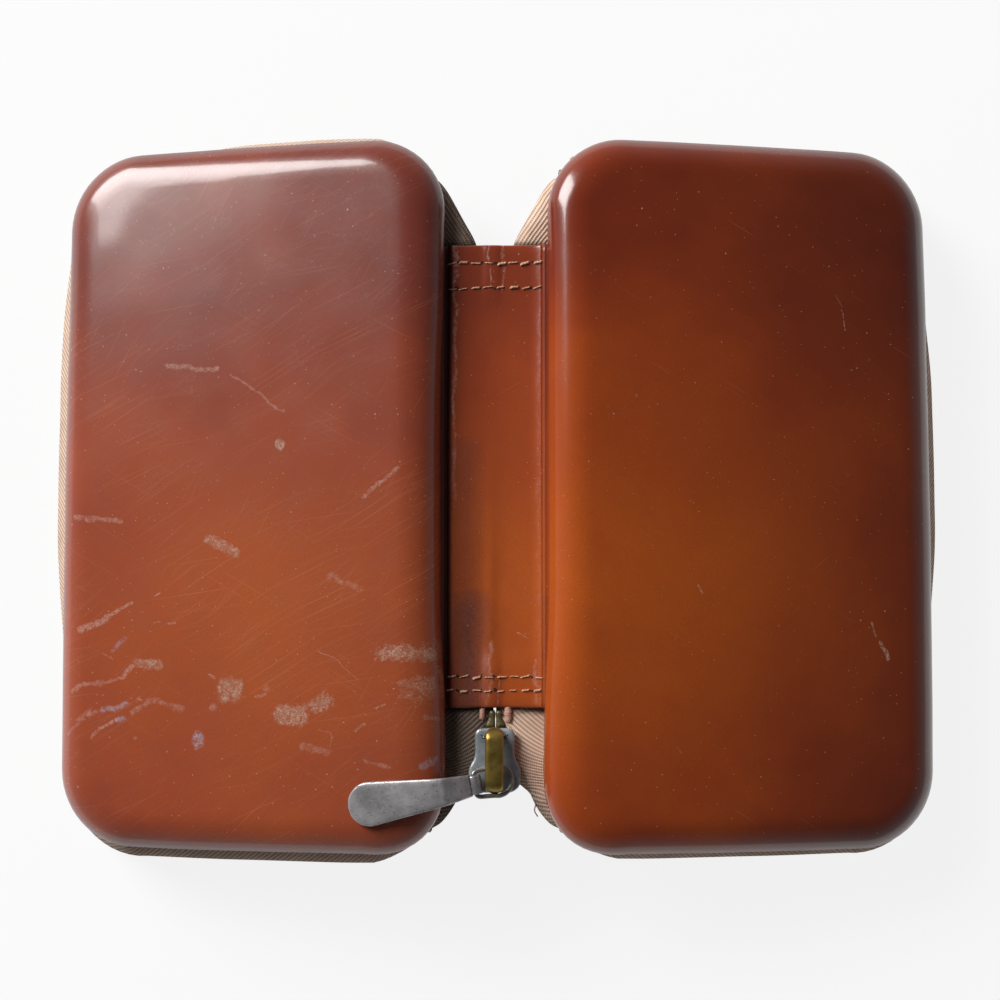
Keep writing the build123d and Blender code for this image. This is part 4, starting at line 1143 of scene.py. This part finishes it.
def pull_points(points):
    """Points of the pull's own plan, in mm, in metres: x runs out along the pull from the ring's middle."""
    p, turn = np.asarray(points, float), math.radians(PULL_HEADING)
    x = RING_SHIFT + p[:, 0] * math.cos(turn) - p[:, 1] * math.sin(turn)
    y = RING_Y + p[:, 0] * math.sin(turn) + p[:, 1] * math.cos(turn)
    return on_spine(np.stack([x, y, p[:, 2]], 1))


def pull_tab():
    """Leaf-shaped tab: a raised neck from its crimp, then a flat leaf with a thin bright rim, round at its end."""
    bar_out = RING_REACH * math.cos(math.radians(RING_TILT))
    bar_z = RING_Z + RING_REACH * math.sin(math.radians(RING_TILT))
    turn = math.radians(PULL_HEADING)
    leaf_end = TAB_LENGTH + TAB_END_R
    tip_x = RING_SHIFT + (bar_out + leaf_end) * math.cos(turn)
    fall = -math.tan(DROOP) * math.cos(turn)
    lying = crown_at(tip_x, RING_Y) + (0.45 + TAB_T / 2) / COS
    rise = math.tan(math.radians(TAB_SLOPE))
    bend = (lying - bar_z + fall * leaf_end) / (rise + fall)
    line = []
    for k in range(61):
        s = 0.9 + (leaf_end - 0.9) * k / 60
        z = min(s * rise, bend * rise - fall * (s - bend))
        soft = math.exp(-((s - bend) / 1.5) ** 2) * 0.42
        line.append((s, z - soft))
    line = np.array(line)
    points, sides = [], 28
    for (s, z), (ds, dz) in zip(line, headings(line)):
        if s > TAB_LENGTH:
            half = math.sqrt(max(0.0, TAB_END_R ** 2 - (s - TAB_LENGTH) ** 2))
        else:
            half = 2.0 + (TAB_END_R - 2.0) * s / TAB_LENGTH
        half = max(half, 0.12)
        thick = TAB_T / 2 * (1.0 - 0.12 * min(1.0, s / leaf_end)) * min(1.0, 0.35 + half / 1.2)
        for w, h in soft_ring(sides, 0.35, 0.55):
            w, h = w * half, h * thick
            if h > 0 and s > bend:
                h -= 0.16 * thick * max(0.0, 1 - (w / half) ** 4) * min(1.0, (s - bend) / 4)
            points.append((s - dz * h, w, z + ds * h))
    n = len(line)
    faces = grid_faces(n, sides, wrap_columns=True) + caps(n, sides)
    start = len(points)
    bore, wall = 0.63, 0.8
    rings = []
    for w in (-1.8, -1.7, -1.45, 1.45, 1.7, 1.8):
        shrink = 0.22 if abs(w) > 1.75 else 0.08 if abs(w) > 1.6 else 0.0
        rings.append((w, bore + wall - shrink))
    rings += [(w, r) for w, r in ((1.8, bore + 0.1), (-1.8, bore + 0.1))]
    for w, r in rings:
        for k in range(24):
            a = 2 * math.pi * k / 24
            points.append((r * math.cos(a), w, r * math.sin(a)))
    faces += grid_faces(len(rings), 24, wrap_rows=True, wrap_columns=True, start=start)
    world = pull_points(np.array(points) + (bar_out, 0.0, bar_z))
    return piece("pull_leaf", world, faces, None, pull_metal)


def outset(outline, out):
    """A closed plan outline moved out by some millimetres along its own normals."""
    p = np.asarray(outline, float)
    ahead, back = np.roll(p, -1, 0) - p, p - np.roll(p, 1, 0)
    ahead /= np.linalg.norm(ahead, axis=1)[:, None]
    back /= np.linalg.norm(back, axis=1)[:, None]
    way = ahead + back
    way /= np.linalg.norm(way, axis=1)[:, None]
    return p + np.stack([-way[:, 1], way[:, 0]], 1) * out


SLIDER_SIDE = ((0.0, 2.3), (0.10, 2.95), (0.42, 3.48), (0.98, 3.76), (1.8, 3.85), (3.2, 3.82), (4.4, 3.80),
               (5.3, 3.86), (6.1, 4.10), (6.9, 4.58), (7.6, 4.92), (8.4, 5.05), (9.6, 5.06), (10.6, 4.98),
               (11.4, 4.55), (11.95, 3.95), (12.28, 3.25), (12.4, 2.5))


def slider_shell():
    """The slider: two soft-edged plates with lips turned toward the tape slots, and the wedge between them."""
    right = [(w, SLIDER_REAR_Y - d) for d, w in SLIDER_SIDE]
    outline = right + [(-w, y) for w, y in reversed(right)]
    middle_y = SLIDER_REAR_Y - SLIDER_LENGTH / 2
    fine = []
    for i, (a, b) in enumerate(zip(outline, outline[1:] + outline[:1])):
        fine += [a, ((a[0] + b[0]) / 2, (a[1] + b[1]) / 2)]
    half, plate = SLIDER_HEIGHT / 2, 1.2
    points, faces = [], []
    for flip in (1, -1):
        levels = [(-2.0, half + 0.05), (-0.9, half + 0.03), (-0.5, half - 0.01), (-0.2, half - 0.10),
                  (-0.05, half - 0.25), (0.0, half - 0.5), (0.0, None), (-0.7, None), (-0.75, half - plate),
                  (-1.6, half - plate)]
        start, n = len(points), len(fine)
        for out, z in levels:
            ring = outset(fine, out) if out else np.array(fine)
            for (x, y), (bx, by) in zip(ring, fine):
                lip = 0.65 if abs(by - middle_y) < SLIDER_LENGTH / 2 - 0.9 and abs(bx) > 3.0 else half - plate
                points.append((x, y, TAIL_Z + flip * (lip if z is None else z)))
        faces += grid_faces(len(levels), n, wrap_columns=True, start=start)
        faces += caps(len(levels), n, start)
    start = len(points)
    front = SLIDER_REAR_Y - SLIDER_LENGTH
    wedge = ((-1.2, front + 0.7), (1.2, front + 0.7), (0.6, front + 4.6), (-0.6, front + 4.6))
    for z in (-half + plate - 0.1, half - plate + 0.1):
        points += [(x, y, TAIL_Z + z) for x, y in wedge]
    faces += grid_faces(2, 4, wrap_columns=True, start=start)
    return piece("slider_shell", on_spine(points), faces, None, slider_metal)


def bridge_bar():
    """Brass bridge: a thick bar with a rounded back, bent down to narrow legs at both ends."""
    top, front = SLIDER_TOP, BRIDGE_Y
    rear, high, bend = front + 11.2, top + 2.95, 1.95
    line = [(rear, top - 0.15), (rear, top + 0.35)]
    line += [(rear - bend + bend * math.cos(a), high - bend + bend * math.sin(a))
             for a in np.linspace(0, math.pi / 2, 9)]
    line += [(rear - bend + (front + bend - rear + bend) * t, high + 0.05 * math.sin(math.pi * t))
             for t in np.linspace(0, 1, 9)[1:-1]]
    line += [(front + bend - bend * math.sin(a), high - bend + bend * math.cos(a))
             for a in np.linspace(0, math.pi / 2, 9)]
    line += [(front, top + 0.35), (front, top - 0.15)]
    line = np.array(line)
    points, sides = [], 24
    for (y, z), (dy, dz) in zip(line, headings(line)):
        rise = min(1.0, max(0.0, (z - top - 1.2) / 1.2))
        half = 1.1 + 0.68 * rise * rise * (3 - 2 * rise)
        for w, h in soft_ring(sides, 0.6, 0.8):
            h *= 0.72 if h > 0 else 0.44
            points.append((w * half, y + dz * h, z - dy * h))
    n = len(line)
    faces = grid_faces(n, sides, wrap_columns=True) + caps(n, sides)
    return piece("bridge_bar", on_spine(points, 1), faces, None, brass)


def lofted(name, stations, material):
    """A soft-edged bar through stations: (middle x, y, bottom z, top z, half width)."""
    points, sides = [], 20
    for x, y, low, high, half in stations:
        points += [(x + w * half, y, (low + high) / 2 + h * (high - low) / 2) for w, h in soft_ring(sides, 0.6, 0.7)]
    n = len(stations)
    faces = grid_faces(n, sides, wrap_columns=True) + caps(n, sides)
    return piece(name, on_spine(points), faces, None, material)


def pinched_stops():
    """The two foot stops, pinched on the tapes' edges: a rounded head, then a prong that widens toward the slider."""
    rear = SLIDER_REAR_Y + 0.1
    parts = []
    for x, spread in ((-0.50, -0.45), (0.80, 0.45)):
        parts.append(lofted("stop", [(x, rear + 3.35, TAIL_Z - 0.4, TAIL_Z + 0.4, 0.25),
                                     (x, rear + 3.15, TAIL_Z - 0.8, TAIL_Z + 0.95, 0.52),
                                     (x, rear + 2.7, TAIL_Z - 1.0, TAIL_Z + 1.15, 0.64),
                                     (x, rear + 2.2, TAIL_Z - 1.1, TAIL_Z + 0.85, 0.63),
                                     (x + spread * 0.3, rear + 1.4, TAIL_Z - 1.1, TAIL_Z + 0.8, 0.70),
                                     (x + spread * 0.8, rear + 0.6, TAIL_Z - 1.1, TAIL_Z + 0.9, 0.95),
                                     (x + spread, rear, TAIL_Z - 1.1, TAIL_Z + 0.9, 1.05)], zip_metal))
    return joined("pinched_stops", parts, zip_metal)


def cord_ends():
    """Frayed, braided ends of the tapes' edge cords beside the stops."""
    parts = []
    for x, tip, lean, thick in ((-2.35, -44.4, -0.15, 0.5), (2.55, -44.9, 0.15, 0.72)):
        line = through([(x, FOOT_Y + 1.5, TAIL_Z + 0.2), (x + lean * 0.4, FOOT_Y - 0.8, TAIL_Z + 0.45),
                        (x + lean, tip, TAIL_Z + 0.1)], 34)
        radius = [0.001 * thick * (1 + 0.16 * abs(math.sin(k * 0.95))) * min(1.0, (34.5 - k) / 3.0)
                  for k in range(34)]
        parts.append(tube("cord_end", on_spine(line), radius, 12, cord_mat))
    thread = through([(7.2, -59.3, TAIL_Z - 1.0), (7.9, -60.6, TAIL_Z - 0.6), (7.7, -62.0, TAIL_Z - 0.9),
                      (8.3, -63.2, TAIL_Z - 1.6)], 16)
    parts.append(tube("loose_thread", on_spine(thread), 0.00012, 6, cord_mat))
    return joined("cord_ends", parts, cord_mat)


def wire_ring():
    """The wire loop through the bridge: round toward the bridge, drawn in to the bar that the tab is crimped on."""
    tilt = math.radians(RING_TILT)
    corners = [(RING_REACH, 0.0), (RING_REACH, 1.5), (RING_REACH - 0.15, 2.1), (RING_REACH - 0.75, 2.45), (2.4, 2.6)]
    arc = [(2.95 * math.cos(a), 2.95 * math.sin(a)) for a in np.radians((70, 90, 115, 140, 160, 180))]
    half_loop = corners + arc
    loop = half_loop + [(x, -y) for x, y in reversed(half_loop[1:-1])]
    fine = through([loop[-1]] + loop + [loop[0], loop[1]], 140)
    start = int(np.argmin(np.linalg.norm(fine[:20] - np.array(loop[0]), axis=1)))
    stop = len(fine) - 20 + int(np.argmin(np.linalg.norm(fine[-20:] - np.array(loop[0]), axis=1)))
    path = [(x * math.cos(tilt), y, RING_Z + x * math.sin(tilt)) for x, y in fine[start:stop]]
    return tube("wire_ring", pull_points(path), 0.00045, 14, wire_metal, closed=True)


made = {"pull_tab": (pull_tab(), "tab"), "slider_body": (slider_shell(), "slider"),
        "slider_bridge": (bridge_bar(), "slider"), "foot_stops": (pinched_stops(), "spine"),
        "pull_ring": (wire_ring(), "ring")}
for node, (obj, body) in made.items():
    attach(obj, body)
    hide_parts(node)
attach(cord_ends(), "spine")
nodes = frame["nodes"]
node_paint = {"head_stop": zip_metal, "closed_chain": zip_metal, "spine_lining": lining_mat}
for half, sign in SIDES:
    node_paint.update({half + "_lining": lining_mat, half + "_board": board_mat, half + "_upper_strap": strap_mat,
                       half + "_lower_strap": strap_mat, half + "_strap_stitches": thread_mat})
for node, material in node_paint.items():
    mesh = nodes[node].data
    mesh.materials.clear()
    mesh.materials.append(material)
for pattern in (TOOTH, STITCH, HOLE):
    bpy.data.objects.remove(pattern)


# ------------------------------------------------------------------ floor, light and camera
def floor():
    """Wide pale floor, white to the camera but for the object's shadow, and clear to a camera below it."""
    paint = Paint("pale_floor")
    tree, links = paint.tree, paint.tree.links
    paint.shader.inputs["Base Color"].default_value = (0.86, 0.86, 0.86, 1)
    paint.shader.inputs["Roughness"].default_value = 0.9
    rays = paint.add("LightPath")
    seen = paint.math("MAXIMUM", paint.math("MAXIMUM", rays.outputs["Is Camera Ray"], rays.outputs["Is Glossy Ray"]),
                      rays.outputs["Is Transmission Ray"])
    white = paint.add("Emission", Color=(1, 1, 1, 1), Strength=1.0)
    mixed = tree.nodes.new("ShaderNodeMixShader")
    paint.put(mixed.inputs[0], paint.times(seen, 0.86))
    links.new(paint.shader.outputs[0], mixed.inputs[1])
    links.new(white.outputs[0], mixed.inputs[2])
    below = paint.times(rays.outputs["Is Camera Ray"], paint.add("NewGeometry").outputs["Backfacing"])
    clear = tree.nodes.new("ShaderNodeMixShader")
    paint.put(clear.inputs[0], below)
    links.new(mixed.outputs[0], clear.inputs[1])
    links.new(tree.nodes.new("ShaderNodeBsdfTransparent").outputs[0], clear.inputs[2])
    links.new(clear.outputs[0], tree.nodes["Material Output"].inputs["Surface"])
    size = 3.0
    obj = piece("floor", [(-size, -size, -0.0004), (size, -size, -0.0004), (size, size, -0.0004),
                          (-size, size, -0.0004)], [(0, 1, 2, 3)], None, paint.material)


def lamp(name, place, aim, size, power, colour=(1, 1, 1), size_y=None):
    data = bpy.data.lights.new(name, "AREA")
    data.shape = "RECTANGLE"
    data.size, data.size_y, data.energy, data.color = size, size_y or size, power, colour
    obj = bpy.data.objects.new(name, data)
    obj.location = place
    obj.rotation_euler = (Vector(aim) - Vector(place)).to_track_quat("-Z", "Y").to_euler()
    bpy.context.scene.collection.objects.link(obj)


floor()
lamp("window", (-0.98, 0.88, 0.84), (-0.03, 0.0, 0.0), 0.75, 34.0, (0.985, 0.985, 0.98), 0.95)
world = bpy.data.worlds.new("room")
bpy.context.scene.world = world
world.use_nodes = True
sky = Paint("", world.node_tree)
up = sky.add("SeparateXYZ", Vector=sky.add("TexCoord").outputs["Generated"]).outputs[2]
background = world.node_tree.nodes["Background"]
background.inputs["Color"].default_value = (0.92, 0.95, 1.0, 1.0)
sky.put(background.inputs["Strength"], sky.span(up, 0.1, 0.7, 0.42, 0.05))
camera = bpy.data.cameras.new("photo_camera")
camera.sensor_width, camera.lens = 36.0, 63.05
view = bpy.data.objects.new("photo_camera", camera)
view.location = (0.00615, -0.02803, Z_FOLD + 0.34177)
view.rotation_euler = tuple(math.radians(a) for a in (4.409, 0.860, 0.008))
bpy.context.scene.collection.objects.link(view)
bpy.context.scene.camera = view
bpy.context.scene.view_settings.view_transform = "Standard"
